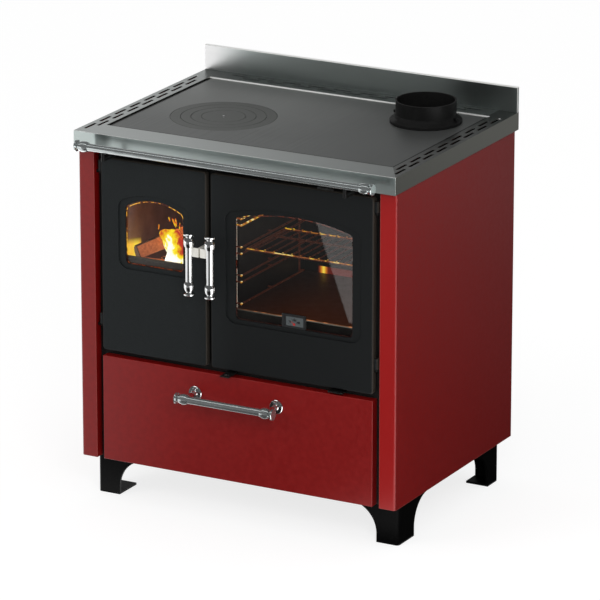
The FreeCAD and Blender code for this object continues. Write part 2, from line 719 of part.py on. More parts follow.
def bolts_of_foot(side, at_front):
    along = 1 if at_front else -1
    corner_y = foot_front if at_front else foot_rear
    deep = s.foot_side_deep if at_front else s.foot_rear_deep
    column = (foot_x - s.bolt_inset) * side
    return [(column, corner_y + s.bolt_inset * along), (column, corner_y + (deep + s.foot_curve / 2) * along)]


def foot_bolt_places():
    feet = [(side, at_front) for side in (-1, 1) for at_front in (True, False)]
    return [place_of for side, at_front in feet for place_of in bolts_of_foot(side, at_front)]


def foot_bolts():
    bolts = []
    low = s.foot_high - s.foot_top
    for x, y in foot_bolt_places():
        bolts.append(join("foot_bolt", [
            rod("foot_bolt_shank", s.bolt_radius, (x, y, low), "z", base_top - low),
            rod("foot_bolt_head", s.bolt_head_radius, (x, y, base_top), "z", s.bolt_head)]))
    return group("foot_bolts", bolts)


# Turned bars and their posts
def turned_bar(name, length, centre, upright):
    """A round bar with a barrel, a neck and a cap at each end."""
    end = length / 2
    cap_in = end - s.cap_long
    neck_in = cap_in - s.neck_long
    barrel_in = neck_in - s.barrel_long
    points = [(-end, sized(0)), (end, sized(0)), (end, s.cap_radius - s.cap_bevel),
              (end - s.cap_bevel, s.cap_radius), (cap_in + s.cap_flare, s.cap_radius),
              (cap_in, s.neck_radius), (neck_in, s.neck_radius),
              (neck_in, s.barrel_end_radius, s.barrel_bulge_radius, "left"), (barrel_in, s.barrel_end_radius),
              (barrel_in, s.bar_radius)]
    other = [(-barrel_in, s.bar_radius), (-barrel_in, s.barrel_end_radius, s.barrel_bulge_radius, "left"),
             (-neck_in, s.barrel_end_radius), (-neck_in, s.neck_radius), (-cap_in, s.neck_radius),
             (-cap_in - s.cap_flare, s.cap_radius), (-end + s.cap_bevel, s.cap_radius),
             (-end, s.cap_radius - s.cap_bevel)]
    body = new_body(name)
    if upright:
        body.Placement = FreeCAD.Placement(FreeCAD.Vector(), FreeCAD.Rotation(FreeCAD.Vector(0, 1, 0), -90))
    place(body, *centre)
    revolve(body, name + "_section", "H_Axis", points + other)
    return body


def barrel_offset(length):
    return length / 2 - s.cap_long - s.neck_long - s.barrel_long / 2


def post(name, foot_point, reach, rosette):
    """A stepped rosette and a stem that ends at the bar's barrel."""
    body = new_body(name + "_turned")
    body.Placement = FreeCAD.Placement(FreeCAD.Vector(), FreeCAD.Rotation(FreeCAD.Vector(0, 0, 1), -90))
    place(body, *foot_point)
    first = s.rosette_thick
    second = first + s.rosette_second
    revolve(body, name + "_section", "H_Axis", [
        (sized(0), sized(0)), (reach, sized(0)), (reach, s.post_radius), (second * 2, s.post_radius),
        (second, s.post_foot_radius), (second, rosette - s.rosette_step), (first, rosette - s.rosette_step),
        (first, rosette - s.cap_bevel), (first - s.cap_bevel, rosette), (sized(0), rosette)])
    cut_start = (foot_point[0] - s.barrel_long, foot_point[1] - reach, foot_point[2])
    bar_cut = rod(name + "_bar_cut", s.barrel_radius + s.post_gap, cut_start, "x", s.barrel_long * 2)
    return cut(name, body, [bar_cut])


rail_z = s.worktop_high - s.rail_drop
rail_long = s.worktop_wide - s.rail_end_inset * 2
drawer_handle_z = drawer_top - s.drawer_handle_drop


def handrail_posts():
    """Brackets from the front frame, under the worktop's apron, each with a stem up to the bar."""
    bar_y = front - s.rail_axis_reach
    leg_z = (apron_low - s.rail_leg_gap - s.rail_leg_thick, apron_low - s.rail_leg_gap)
    brackets = []
    for side in (-1, 1):
        middle = (rail_long / 2 - s.rail_bracket_inset) * side
        leg = box("rail_leg", widened((middle, middle), s.rail_stem_radius), (bar_y, frame_front), leg_z)
        stem = rod("rail_stem", s.rail_stem_radius, (middle, bar_y, leg_z[0]), "z", rail_z - leg_z[0])
        bar_cut = rod("rail_bar_cut", s.bar_radius + s.post_gap,
                      (middle - s.barrel_long, bar_y, rail_z), "x", s.barrel_long * 2)
        brackets.append(cut("rail_bracket", join("rail_bent", [leg, stem]), [bar_cut]))
    return group("handrail_posts", brackets)


def drawer_handle_posts():
    offset = barrel_offset(s.drawer_bar_long)
    return group("drawer_handle_posts", [post("drawer_post", (offset * side, face, drawer_handle_z),
                                              s.drawer_handle_reach, s.rosette_radius) for side in (-1, 1)])


# Doors
def recess_outline(window, low, side, rise, side_margin, end_margin):
    straight = side + end_margin * 2
    return arched(widened(window, side_margin), low - end_margin, straight, rise, s.recess_corner)


def hinge_z(upper):
    return door_top - s.upper_hinge_inset if upper else door_low + s.lower_hinge_inset


def hinge_x(side):
    return (door_half + s.hinge_offset) * side


hinge_y = face + s.hinge_back


def door_casting(name, span, side, window, low, straight, rise, side_margin, end_margin):
    body = new_body(name + "_plate")
    slab = pad(body, name + "_slab", "XZ", (face, door_rear),
               rounded(span, (door_low, door_top), s.door_corner))
    fillet(body, name + "_edge", slab, s.door_edge_round, lambda edge: lies_at(edge, "Y", face))
    inner = widened(span, -s.door_rim)
    inner_z = widened((door_low, door_top), -s.door_rim)
    pocket(body, name + "_hollow", "XZ", (pocket_floor, door_rear + over),
           rounded(inner, inner_z, s.door_corner))
    pocket(body, name + "_recess", "XZ", (face - over, face + s.recess_deep),
           recess_outline(window, low, straight, rise, side_margin, end_margin))
    pocket(body, name + "_window", "XZ", (face - over, pocket_floor + over),
           arched(window, low, straight, rise, s.window_corner))
    pieces = [body]
    cuts = []
    edge = door_half * side
    for upper in (True, False):
        middle = hinge_z(upper)
        knuckle_z = (middle - s.knuckle_long / 2, middle + s.knuckle_long / 2)
        pieces.append(rod(name + "_knuckle", s.knuckle_radius, (hinge_x(side), hinge_y, knuckle_z[0]), "z",
                          s.knuckle_long))
        web_x = (hinge_x(side), edge - s.door_rim / 2 * side)
        if side > 0:
            web_x = (web_x[1], web_x[0])
        pieces.append(box(name + "_web", web_x, (hinge_y - s.knuckle_radius / 2, door_rear), knuckle_z))
        bore_start = (hinge_x(side), hinge_y, knuckle_z[0] - over)
        cuts.append(rod(name + "_bore", s.pin_radius + s.pin_gap, bore_start, "z", s.knuckle_long + over * 2))
    pivot_x = span[1] - s.pivot_deep if side < 0 else span[0] - over
    cuts.append(rod(name + "_pivot_hole", s.pivot_radius + s.pin_gap, (pivot_x, pivot_y, arm_middle), "x",
                    s.pivot_deep + over))
    for x, z in retainer_screw_places(window, low, straight, rise):
        cuts.append(rod(name + "_screw_hole", s.screw_radius + s.pin_gap,
                        (x, pocket_floor - s.retainer_screw_deep, z), "y", s.retainer_screw_deep + over))
    return cut(name, join(name + "_joined", pieces), cuts)


def glass_box(window, low, straight, rise):
    return widened(window, s.glass_lap), (low - s.glass_lap, low + straight + rise + s.glass_lap)


def door_glass(name, window, low, straight, rise):
    x, z = glass_box(window, low, straight, rise)
    glass_front = pocket_floor + s.glass_gap
    body = new_body(name)
    pad(body, name + "_pane", "XZ", (glass_front, glass_front + s.glass_thick),
        rounded(x, z, s.window_corner))
    return body


retainer_front = pocket_floor + s.glass_gap * 2 + s.glass_thick
retainer_rear = retainer_front + s.retainer_sheet


def retainer_span(window, low, straight, rise):
    x, z = glass_box(window, low, straight, rise)
    margin = s.retainer_screw_inset * 2
    return widened(x, margin), widened(z, margin)


def retainer_screw_places(window, low, straight, rise):
    x, z = retainer_span(window, low, straight, rise)
    inset = s.retainer_screw_inset
    return [(across, up) for across in widened(x, -inset) for up in widened(z, -inset)]


def glass_frame(name, window, low, straight, rise):
    """Sheet frame behind the glass, held by a screw in each corner."""
    x, z = retainer_span(window, low, straight, rise)
    plate = box(name + "_sheet", x, (retainer_front, retainer_rear), z)
    hole = box(name + "_hole", widened(x, -s.retainer_wide), (retainer_front - over, retainer_rear + over),
               widened(z, -s.retainer_wide))
    pieces = [cut(name + "_ring", plate, [hole])]
    for across, up in retainer_screw_places(window, low, straight, rise):
        start = pocket_floor - s.retainer_screw_deep
        pieces.append(rod(name + "_screw", s.screw_radius, (across, start, up), "y", retainer_rear - start))
        pieces.append(rod(name + "_screw_head", s.screw_head_radius - s.retainer_sheet / 2,
                          (across, retainer_rear, up), "y", s.rope_gap * 4))
    return join(name, pieces)


def rope_seal(name, span):
    """Round rope that runs round the rear of a door's rim."""
    body = new_body(name)
    middle = (span[0] + span[1]) / 2
    centre_y = door_rear + s.rope_gap + s.rope_radius
    inset = s.door_rim / 2
    place(body, middle, centre_y, door_low + inset)
    half_wide = (span[1] - span[0]) / 2 - inset
    high = s.door_high - inset * 2
    corner = s.door_corner
    path = sketch_on(body, name + "_path", "XZ", 0, [[
        (sized(0), sized(0)), (half_wide - corner, sized(0), corner, "left"), (half_wide, corner),
        (half_wide, high - corner, corner, "left"), (half_wide - corner, high),
        (-half_wide + corner, high, corner, "left"), (-half_wide, high - corner),
        (-half_wide, corner, corner, "left"), (-half_wide + corner, sized(0))]])
    section = sketch_on(body, name + "_section", "YZ", 0, [])
    section.addGeometry(Part.Circle(FreeCAD.Vector(), FreeCAD.Vector(0, 0, 1), s.rope_radius.value), False)
    section.addConstraint([Sketcher.Constraint("Coincident", 0, 3, -1, 1),
                           Sketcher.Constraint("Radius", 0, s.rope_radius.value)])
    bind(section, "Constraints[1]", s.rope_radius)
    doc.recompute()
    pipe = body.newObject("PartDesign::AdditivePipe", name + "_pipe")
    pipe.Profile = section
    pipe.Spine = (path, [])
    return body


def window_shape(x, low, top, rise):
    """The window's sides, its lower edge, the height of its straight sides and the rise of its head."""
    return x, door_low + low, s.door_high - low - top - rise, rise


fire_window = (fire_door[0] + s.fire_window_left, fire_door[1] - s.fire_window_right)
oven_window = (oven_door[0] + s.oven_window_left, oven_door[1] - s.oven_window_right)
fire_shape = window_shape(fire_window, s.fire_window_low, s.fire_window_top, s.fire_window_rise)
oven_shape = window_shape(oven_window, s.oven_window_low, s.oven_window_top, s.oven_window_rise)


def hinge_brackets():
    """An ear below each knuckle, with the pin that the door is lifted onto."""
    brackets = []
    for side in (-1, 1):
        for upper in (True, False):
            ear_top = hinge_z(upper) - s.knuckle_long / 2 - s.ear_gap
            ear_z = (ear_top - s.ear_high, ear_top)
            nose = s.hinge_offset - s.ear_edge_gap
            outer, inner = face_half * side, hinge_x(side) - nose * side
            ear_x = (outer, inner) if side < 0 else (inner, outer)
            brackets.append(join("hinge_bracket", [
                box("ear", ear_x, (hinge_y, frame_front), ear_z),
                rod("ear_nose", nose, (hinge_x(side), hinge_y, ear_z[0]), "z", s.ear_high),
                rod("hinge_pin", s.pin_radius, (hinge_x(side), hinge_y, ear_z[0]), "z",
                    s.ear_high + s.ear_gap + s.knuckle_long)]))
    return group("hinge_brackets", brackets)


def handle_arm(name, side):
    """Flat arm that turns on a pin in the door's edge: handle end in front, latch tongue behind."""
    edge = fire_door[1] if side < 0 else oven_door[0]
    near = edge - s.arm_gap * side
    far = near - s.arm_sheet * side
    arm_x = (near, far) if side < 0 else (far, near)
    bar_x = edge + s.handle_side * side
    bar_y = face - s.handle_reach
    cross_x = (bar_x, arm_x[1]) if side < 0 else (arm_x[0], bar_x)
    cross_y = (bar_y - s.arm_sheet / 2, bar_y + s.arm_sheet / 2)
    pin_x = edge - (s.pivot_deep - s.arm_gap) if side < 0 else near - s.arm_sheet
    pin_long = s.pivot_deep + s.arm_sheet
    joined = join(name + "_joined", [
        box(name + "_plate", arm_x, (cross_y[0], tongue_y), arm_z),
        box(name + "_cross", cross_x, cross_y, arm_z),
        rod(name + "_pivot", s.pivot_radius, (pin_x, pivot_y, arm_middle), "x", pin_long)])
    bar_cut = rod(name + "_bar_cut", s.bar_radius + s.post_gap, (bar_x, bar_y, arm_z[0] - over), "z",
                  s.arm_high + over * 2)
    return cut(name, joined, [bar_cut])


def handle_bar(name, side):
    edge = fire_door[1] if side < 0 else oven_door[0]
    centre = (edge + s.handle_side * side, face - s.handle_reach, (handle_z[0] + handle_z[1]) / 2)
    return turned_bar(name, s.handle_long, centre, True)


def oven_thermometer():
    """Flat gauge on the glass, with its face sunk in a rim."""
    middle = (oven_window[0] + oven_window[1]) / 2
    low = door_low + s.oven_window_low + s.glass_gap
    glass_front = pocket_floor + s.glass_gap
    x = widened((middle, middle), s.gauge_wide / 2)
    z = (low, low + s.gauge_high)
    case = box("gauge_case", x, (glass_front - s.gauge_thick, glass_front), z)
    dial = box("gauge_dial", widened(x, -s.gauge_rim),
               (glass_front - s.gauge_thick - over, glass_front - s.gauge_thick + s.gauge_face_sink),
               widened(z, -s.gauge_rim))
    return cut("oven_thermometer", case, [dial])


# Front frame: the plate behind the doors and the drawer
def front_frame():
    plate = box("front_plate", (-face_half, face_half), (frame_front, frame_rear), (s.foot_high, under_sheet))
    through = (frame_front - over, frame_rear + over)
    gap = s.slide_gap
    cuts = [
        box("drawer_open", widened((-box_half, box_half), s.drawer_clear), through,
            widened(box_z, s.drawer_clear)),
        box("fire_open", fire_open_x, through, (shell_floor, door_top - s.fire_open_top)),
        box("oven_open", widened(oven_x, s.oven_sheet + s.seam), through,
            widened(oven_z, s.oven_sheet + s.seam)),
        box("latch_open", latch_x, through, latch_z),
        box("air_open", widened(air_x, gap), through, widened(slide_z, gap)),
        box("soot_open", widened(soot_x, gap), through, widened(slide_z, gap)),
        rod("damper_open", s.damper_rod_radius + gap, (damper_x, through[0], damper_z), "y",
            s.frame_sheet + over * 2),
    ]
    return join("front_frame", [cut("front_sheet", plate, cuts), latch_box()])


def latch_box():
    """Closed pocket behind the frame that the two latch tongues reach into."""
    y = (frame_rear, latch_box_rear)
    outer = box("latch_block", latch_box_x, y, latch_box_z)
    inner = box("latch_hollow", latch_x, (frame_rear - over, latch_box_rear - s.latch_box_sheet), latch_z)
    return cut("latch_box", outer, [inner])


def latch_notch(name):
    return box(name, widened(latch_box_x, s.seam), (frame_rear - over, latch_box_rear + s.seam),
               widened(latch_box_z, s.seam))


# Body shell, firebox and oven
def body_shell():
    """Four sheets: the floor with its air holes, both sides and the rear."""
    x = (-shell_half, shell_half)
    floor = box("shell_floor_sheet", x, (frame_rear, shell_rear), (shell_low, shell_floor))
    rear_sheet = box("shell_rear_sheet", x, (shell_rear - s.shell_sheet, shell_rear),
                     (shell_floor, ledge_low))
    sides = []
    for side_x in ((x[0], x[0] + s.shell_sheet), (x[1] - s.shell_sheet, x[1])):
        sides.append(box("shell_side_sheet", side_x, (frame_rear, shell_rear - s.shell_sheet),
                         (shell_floor, ledge_low)))
    holes = []
    for index in range(AIR_HOLES):
        x, y = air_hole_place(index)
        holes.append(rod("shell_air_hole", s.air_hole_radius, (x, y, shell_low - over), "z",
                         s.shell_sheet + over * 2))
    return group("body_shell", [cut("shell_floor", floor, holes), rear_sheet] + sides)


def air_hole_place(index):
    x = (fire_open_x[0] + fire_open_x[1]) / 2 + s.air_hole_pitch * (index - (AIR_HOLES - 1) / 2)
    return x, air_plate_y[0] + s.air_plate_deep / 2


shelf_z = (shell_floor + s.shelf_high, shell_floor + s.shelf_high + s.shelf_thick)
base_brick_z = (shelf_z[1], shelf_z[1] + s.base_brick_high)
brick_z = (base_brick_z[1], ledge_low - s.brick_top_gap)
firebox_x = (-shell_half + s.shell_sheet, divider_x[0])
inner_brick_x = (firebox_x[0] + s.brick_gap + s.brick_thick, firebox_x[1] - s.brick_gap - s.brick_thick)
brick_front = frame_rear + s.brick_gap
brick_back = shell_rear - s.shell_sheet - s.brick_rear_gap
brick_rear_y = (brick_back - s.brick_thick, brick_back)
bed_x = widened(firebox_x, -s.shelf_border)
bed_y = (brick_front + s.shelf_border, brick_rear_y[0] - s.shelf_border / 2)


def firebox_divider():
    plate = box("divider_sheet", divider_x, (frame_rear, shell_rear - s.shell_sheet),
                (shell_floor, brick_z[1]))
    return cut("firebox_divider", plate, [latch_notch("divider_notch")])


def grate_shelf():
    """Cast shelf across the firebox that carries the bricks and the grate."""
    plate = box("shelf_plate", firebox_x, (frame_rear, brick_rear_y[1]), shelf_z)
    hole = box("shelf_hole", bed_x, bed_y, widened(shelf_z, over))
    return cut("grate_shelf", plate, [hole])


def firebrick_base():
    block = box("base_brick_block", widened(firebox_x, -s.brick_gap), (brick_front, brick_rear_y[1]),
                base_brick_z)
    hole = box("base_brick_hole", widened(bed_x, s.grate_lap), widened(bed_y, s.grate_lap),
               widened(base_brick_z, over))
    return cut("firebrick_base", block, [hole])


def firebrick_sides():
    y = (brick_front, brick_rear_y[0] - s.brick_gap)
    left = box("left_brick", (firebox_x[0] + s.brick_gap, inner_brick_x[0]), y, brick_z)
    right = box("right_brick_block", (inner_brick_x[1], firebox_x[1] - s.brick_gap), y, brick_z)
    return group("firebrick_sides", [left, cut("right_brick", right, [latch_notch("brick_notch")])])


def firebrick_rear():
    return box("firebrick_rear", widened(firebox_x, -s.brick_gap), brick_rear_y, brick_z)


def fire_grate():
    x = widened(bed_x, s.grate_lap - s.brick_gap)
    y = widened(bed_y, s.grate_lap - s.brick_gap)
    z = (shelf_z[1], shelf_z[1] + s.grate_thick)
    pitch = (bed_x[1] - bed_x[0]) / GRATE_SLOTS
    slots = []
    for index in range(GRATE_SLOTS):
        centre = bed_x[0] + pitch * (index + 0.5)
        slots.append(box("grate_gap", widened((centre, centre), s.grate_slot / 2), widened(y, -s.grate_edge),
                         widened(z, over)))
    return cut("fire_grate", box("grate_plate", x, y, z), slots)


def log_guard():
    low = base_brick_z[1]
    return box("log_guard", widened(inner_brick_x, -s.brick_gap), (brick_front, brick_front + s.guard_thick),
               (low, low + s.guard_high))


def ash_pan():
    x = widened(fire_open_x, -s.ash_pan_clear)
    y = (frame_rear + s.ash_pan_front, brick_rear_y[0] - s.ash_pan_rear)
    low = shell_floor + s.ash_pan_skid
    z = (low, low + s.ash_pan_high)
    tray = cut("ash_tray", box("ash_block", x, y, z),
               [box("ash_hollow", widened(x, -s.ash_pan_sheet), widened(y, -s.ash_pan_sheet),
                    (low + s.ash_pan_sheet, z[1] + over))])
    lip = box("ash_lip", widened(x, -s.ash_pan_lip * 2), (y[0] - s.ash_pan_lip, y[0]),
              (z[1] - s.ash_pan_sheet, z[1]))
    skids = [box("ash_skid", start, y, (shell_floor, low))
             for start in ((x[0], x[0] + s.ash_pan_lip), (x[1] - s.ash_pan_lip, x[1]))]
    return join("ash_pan", [tray, lip] + skids)


def oven_box():
    outer = box("oven_block", widened(oven_x, s.oven_sheet), (oven_y[0], oven_y[1] + s.oven_sheet),
                widened(oven_z, s.oven_sheet))
    inner = box("oven_hollow", oven_x, (oven_y[0] - over, oven_y[1]), oven_z)
    return cut("oven_box", outer, [inner])


guide_y = (oven_y[0] + s.guide_front, oven_y[1] - s.guide_rear)
guide_middle = (guide_y[0] + guide_y[1]) / 2
guide_pitch = (oven_z[1] - s.guide_top_gap - oven_z[0] - s.guide_first) / (GUIDE_LEVELS - 1)


def guide_heights(level):
    top = oven_z[0] + s.guide_first + guide_pitch * level
    return (top - s.guide_pair, top) if level else (top,)


def oven_guides():
    """Bent wires along both walls: each pair holds a rack or a tray between its two wires."""
    radius = s.wire_radius
    sides = []
    for side in (-1, 1):
        wall = oven_x[0] if side < 0 else oven_x[1]
        line = wall - s.guide_offset * side
        wires = []
        for level in range(GUIDE_LEVELS):
            for height in guide_heights(level):
                wires.append(rod("guide_wire", radius, (line, guide_y[0], height), "y",
                                 guide_y[1] - guide_y[0]))
                start = wall if side < 0 else line
                for along in (guide_y[0] + radius, guide_middle, guide_y[1] - radius):
                    place_of = (start, along, height)
                    wires.append(rod("guide_stub", s.stub_radius, place_of, "x", s.guide_offset))
        low = guide_heights(0)[0] - radius
        top = guide_heights(GUIDE_LEVELS - 1)[-1] + radius
        upright_foot = (wall - radius * side, guide_y[1] - radius, low)
        wires.append(rod("guide_upright", radius, upright_foot, "z", top - low))
        sides.append(join("guide_frame", wires))
    return group("oven_guides", sides)


def oven_rack():
    radius = s.rack_rod_radius
    low = guide_heights(RACK_LEVEL)[0] + s.wire_radius
    height = low + radius
    x = widened(oven_x, -s.rack_side)
    y = (oven_y[0] + s.rack_front, oven_y[1] - s.rack_rear)
    long = y[1] - y[0]
    rods = []
    for across in x:
        rods.append(rod("rack_side_rod", radius, (across, y[0] - s.rack_tail, height), "y",
                        long + s.rack_tail * 2))
    for along in (y[0], (y[0] + y[1] * 2) / 3, y[1]):
        rods.append(rod("rack_cross_rod", s.rack_cross_radius, (x[0], along, height), "x", x[1] - x[0]))
    count = int((x[1].value - x[0].value) / s.rack_wire_pitch.value)
    for index in range(1, count):
        across = x[0] + (x[1] - x[0]) * (index / count)
        start = (across, y[0] - s.rack_wire_radius, height + radius)
        rods.append(rod("rack_wire", s.rack_wire_radius, start, "y", long + s.rack_wire_radius * 2))
    return join("oven_rack", rods)


oven_top = oven_z[1] + s.oven_sheet
flue_wall_y = (oven_y[1] - s.flue_wall_back - s.shell_sheet, oven_y[1] - s.flue_wall_back)
flue_window_x = widened((damper_x, damper_x), s.flue_window_wide / 2)
flue_window_z = widened((damper_z, damper_z), s.flue_window_high / 2)
damper_y = (flue_wall_y[0] - s.slide_gap - s.damper_sheet, flue_wall_y[0] - s.slide_gap)


def flue_divider():
    plate = box("flue_sheet", (divider_x[1], shell_half - s.shell_sheet), flue_wall_y, (oven_top, plate_low))
    hole = box("flue_window", flue_window_x, widened(flue_wall_y, over), flue_window_z)
    return cut("flue_divider", plate, [hole])


def damper_lever():
    tab_y = (face - s.damper_tab_back + s.damper_tab_thick, face - s.damper_tab_back + s.damper_tab_thick * 2)
    return join("damper_lever", [
        box("damper_plate", widened(flue_window_x, s.damper_lap), damper_y,
            widened(flue_window_z, s.damper_lap / 2)),
        rod("damper_rod", s.damper_rod_radius, (damper_x, tab_y[0], damper_z), "y",
            damper_y[0] - tab_y[0]),
        box("damper_tab", widened((damper_x, damper_x), s.damper_tab_wide / 2), tab_y,
            widened((damper_z, damper_z), s.damper_tab_high / 2))])


air_plate_x = (air_hole_place(0)[0] - s.air_hole_radius - s.air_plate_margin, air_x[1])
air_plate_z = (shell_low - s.slide_gap - s.air_plate_sheet, shell_low - s.slide_gap)


def air_lever():
    """Flat lever under the doors, cranked up to the plate that covers the air holes."""
    bar = box("air_bar", air_x, (face - s.air_reach, air_plate_y[0] + s.air_sheet), slide_z)
    riser = box("air_riser", air_x, (air_plate_front, air_plate_front + s.air_sheet),
                (slide_z[0], air_plate_z[1]))
    plate = box("air_plate", air_plate_x, air_plate_y, air_plate_z)
    holes = []
    for index in range(AIR_HOLES):
        x, y = air_hole_place(index)
        holes.append(rod("air_hole", s.air_hole_radius, (x, y + s.air_travel, air_plate_z[0] - over), "z",
                         s.air_plate_sheet + over * 2))
    eye_y = face - s.air_reach + s.air_wide / 2
    eye = rod("air_eye", s.air_wide / 4, (air_middle, eye_y, slide_z[0] - over), "z", s.air_sheet + over * 2)
    return cut("air_lever", join("air_joined", [bar, riser, plate]), holes + [eye])


def slide_guides():
    """Two folded strips under the shell's floor that carry the air plate, and one the soot slide."""
    gap = s.slide_gap
    strips = []
    ledge_z = (air_plate_z[0] - gap - s.air_plate_sheet, air_plate_z[0] - gap)
    y = (air_plate_y[0] + s.air_sheet + gap, air_plate_y[1])
    for edge, side in ((air_plate_x[0], -1), (air_plate_x[1], 1)):
        near, far = edge + gap * side, edge + (gap + s.air_plate_sheet) * side
        web = (far, near) if side < 0 else (near, far)
        ledge = (far, edge + s.guide_strip) if side < 0 else (edge - s.guide_strip, far)
        strips.append(join("air_guide", [box("air_guide_web", web, y, (ledge_z[0], shell_low)),
                                         box("air_guide_ledge", ledge, y, ledge_z)]))
    sheet_thick = s.air_plate_sheet
    outer_x = widened(soot_x, gap + sheet_thick)
    hanger_y = (frame_rear, frame_rear + s.soot_deep / 2)
    outer = box("soot_hanger_block", outer_x, hanger_y, (slide_z[0] - gap - sheet_thick, shell_low))
    inner = box("soot_hanger_hollow", widened(soot_x, gap), widened(hanger_y, over),
                (slide_z[0] - gap, shell_low + over))
    strips.append(cut("soot_hanger", outer, [inner]))
    return group("slide_guides", strips)


def soot_slide():
    return box("soot_slide", soot_x, (face - s.soot_reach, face - s.soot_reach + s.soot_deep), slide_z)


# Drawer
def drawer_front():
    """Folded tray, open to the back, with rounded front corners."""
    body = new_body("drawer_front")
    slab = pad(body, "drawer_slab", "XZ", (face, face + s.drawer_return),
               rounded((-door_half, door_half), (s.foot_high, drawer_top), s.drawer_sheet))
    fillet(body, "drawer_edge", slab, s.drawer_sheet * s.drawer_round_share,
           lambda edge: lies_at(edge, "Y", face))
    inner = widened((-door_half, door_half), -s.drawer_sheet)
    pocket(body, "drawer_hollow", "XZ", (face + s.drawer_sheet, face + s.drawer_return + over),
           rounded(inner, widened((s.foot_high, drawer_top), -s.drawer_sheet), s.drawer_sheet))
    return body


def drawer_box():
    x = (-box_half, box_half)
    y = (face + s.drawer_sheet, face + s.drawer_sheet + s.drawer_box_deep)
    block = box("drawer_block", x, y, box_z)
    hollow = box("drawer_hollow_box", widened(x, -s.drawer_sheet), widened(y, -s.drawer_sheet),
                 (box_z[0] + s.drawer_sheet, box_z[1] + over))
    return cut("drawer_box", block, [hollow])


def drawer_runners():
    rails = []
    y = (frame_rear, face + s.drawer_box_deep)
    ledge_top_z = box_z[0] - s.runner_gap
    for side in (-1, 1):
        near = (box_half + s.runner_gap) * side
        far = (box_half + s.runner_gap + s.runner_sheet) * side
        ledge_end = (box_half - s.runner_ledge) * side
        web = (far, near) if side < 0 else (near, far)
        ledge = (far, ledge_end) if side < 0 else (ledge_end, far)
        rails.append(join("drawer_runner", [
            box("runner_web", web, y, (base_top, base_top + s.runner_high)),
            box("runner_ledge_box", ledge, y, (ledge_top_z - s.runner_sheet, ledge_top_z))]))
    return group("drawer_runners", rails)


def heat_shields():
    shields = []
    for side in (-1, 1):
        near, far = (shell_half + s.shield_gap) * side, (shell_half + s.shield_gap + s.shield_sheet) * side
        x = (far, near) if side < 0 else (near, far)
        shields.append(box("heat_shield", x, (frame_rear + s.shield_end, panel_rear - s.shield_end),
                           (base_top, under_sheet - s.shield_top_gap)))
    return group("heat_shields", shields)


panel_fold = left_side_panel()
panel_fold.Label = "panel_fold"
pieces = {
    "left_side_panel": with_screw_holes("left_panel_drilled", panel_fold, -1),
    "right_side_panel": with_screw_holes("right_panel_drilled", mirrored("panel_mirror", panel_fold), 1),
    "rear_panel": rear_panel(),
    "base_plate": base_plate(),
    "front_frame": front_frame(),
    "worktop_frame": worktop_frame(),
    "backsplash": backsplash(),
    "cooktop_plate": cooktop_plate(),
    "cooktop_rope_seal": cooktop_rope_seal(),
    "hob_ring_outer": hob_ring("hob_ring_outer", s.ring_outer_radius, s.ring_middle_radius),
    "hob_ring_middle": hob_ring("hob_ring_middle", s.ring_middle_radius, s.ring_inner_radius),
    "hob_ring_inner": hob_ring("hob_ring_inner", s.ring_inner_radius, s.lid_radius),
    "hob_lid": hob_lid(),
    "flue_collar": flue_collar(),
    "flue_collar_bolts": flue_collar_bolts(),
    "handrail_bar": turned_bar("handrail_bar", rail_long,
                               (sized(0), front - s.rail_axis_reach, rail_z), False),
    "handrail_posts": handrail_posts(),
    "foot_front_left": foot("foot_front_left", -1, True),
    "foot_front_right": foot("foot_front_right", 1, True),
    "foot_rear_left": foot("foot_rear_left", -1, False),
    "foot_rear_right": foot("foot_rear_right", 1, False),
    "foot_bolts": foot_bolts(),
    "panel_screws": panel_screws(),
    "heat_shields": heat_shields(),
    "body_shell": body_shell(),
    "firebox_divider": firebox_divider(),
    "grate_shelf": grate_shelf(),
    "firebrick_base": firebrick_base(),
    "firebrick_sides": firebrick_sides(),
    "firebrick_rear": firebrick_rear(),
    "fire_grate": fire_grate(),
    "log_guard": log_guard(),
    "ash_pan": ash_pan(),
    "oven_box": oven_box(),
    "oven_guides": oven_guides(),
    "oven_rack": oven_rack(),
    "flue_divider": flue_divider(),
    "damper_lever": damper_lever(),
    "air_lever": air_lever(),
    "soot_slide": soot_slide(),
    "slide_guides": slide_guides(),
    "hinge_brackets": hinge_brackets(),
    "fire_door_casting": door_casting("fire_door_casting", fire_door, -1, *fire_shape,
                                      s.fire_recess_side, s.fire_recess_end),
    "fire_door_glass": door_glass("fire_door_glass", *fire_shape),
    "fire_door_glass_frame": glass_frame("fire_door_glass_frame", *fire_shape),
    "fire_door_rope_seal": rope_seal("fire_door_rope_seal", fire_door),
    "fire_door_handle": handle_arm("fire_door_handle", -1),
    "fire_door_handle_bar": handle_bar("fire_door_handle_bar", -1),
    "oven_door_casting": door_casting("oven_door_casting", oven_door, 1, *oven_shape,
                                      s.oven_recess_side, s.oven_recess_end),
    "oven_door_glass": door_glass("oven_door_glass", *oven_shape),
    "oven_door_glass_frame": glass_frame("oven_door_glass_frame", *oven_shape),
    "oven_door_rope_seal": rope_seal("oven_door_rope_seal", oven_door),
    "oven_door_handle": handle_arm("oven_door_handle", 1),
    "oven_door_handle_bar": handle_bar("oven_door_handle_bar", 1),
    "oven_thermometer": oven_thermometer(),
    "drawer_front": drawer_front(),
    "drawer_box": drawer_box(),
    "drawer_runners": drawer_runners(),
    "drawer_handle_bar": turned_bar("drawer_handle_bar", s.drawer_bar_long,
                                    (sized(0), face - s.drawer_handle_reach, drawer_handle_z), False),
    "drawer_handle_posts": drawer_handle_posts(),
}
doc.recompute()

for item in doc.Objects:
    if "Invalid" in item.State or "Error" in item.State:
        raise RuntimeError("%s failed: %s" % (item.Name, item.State))

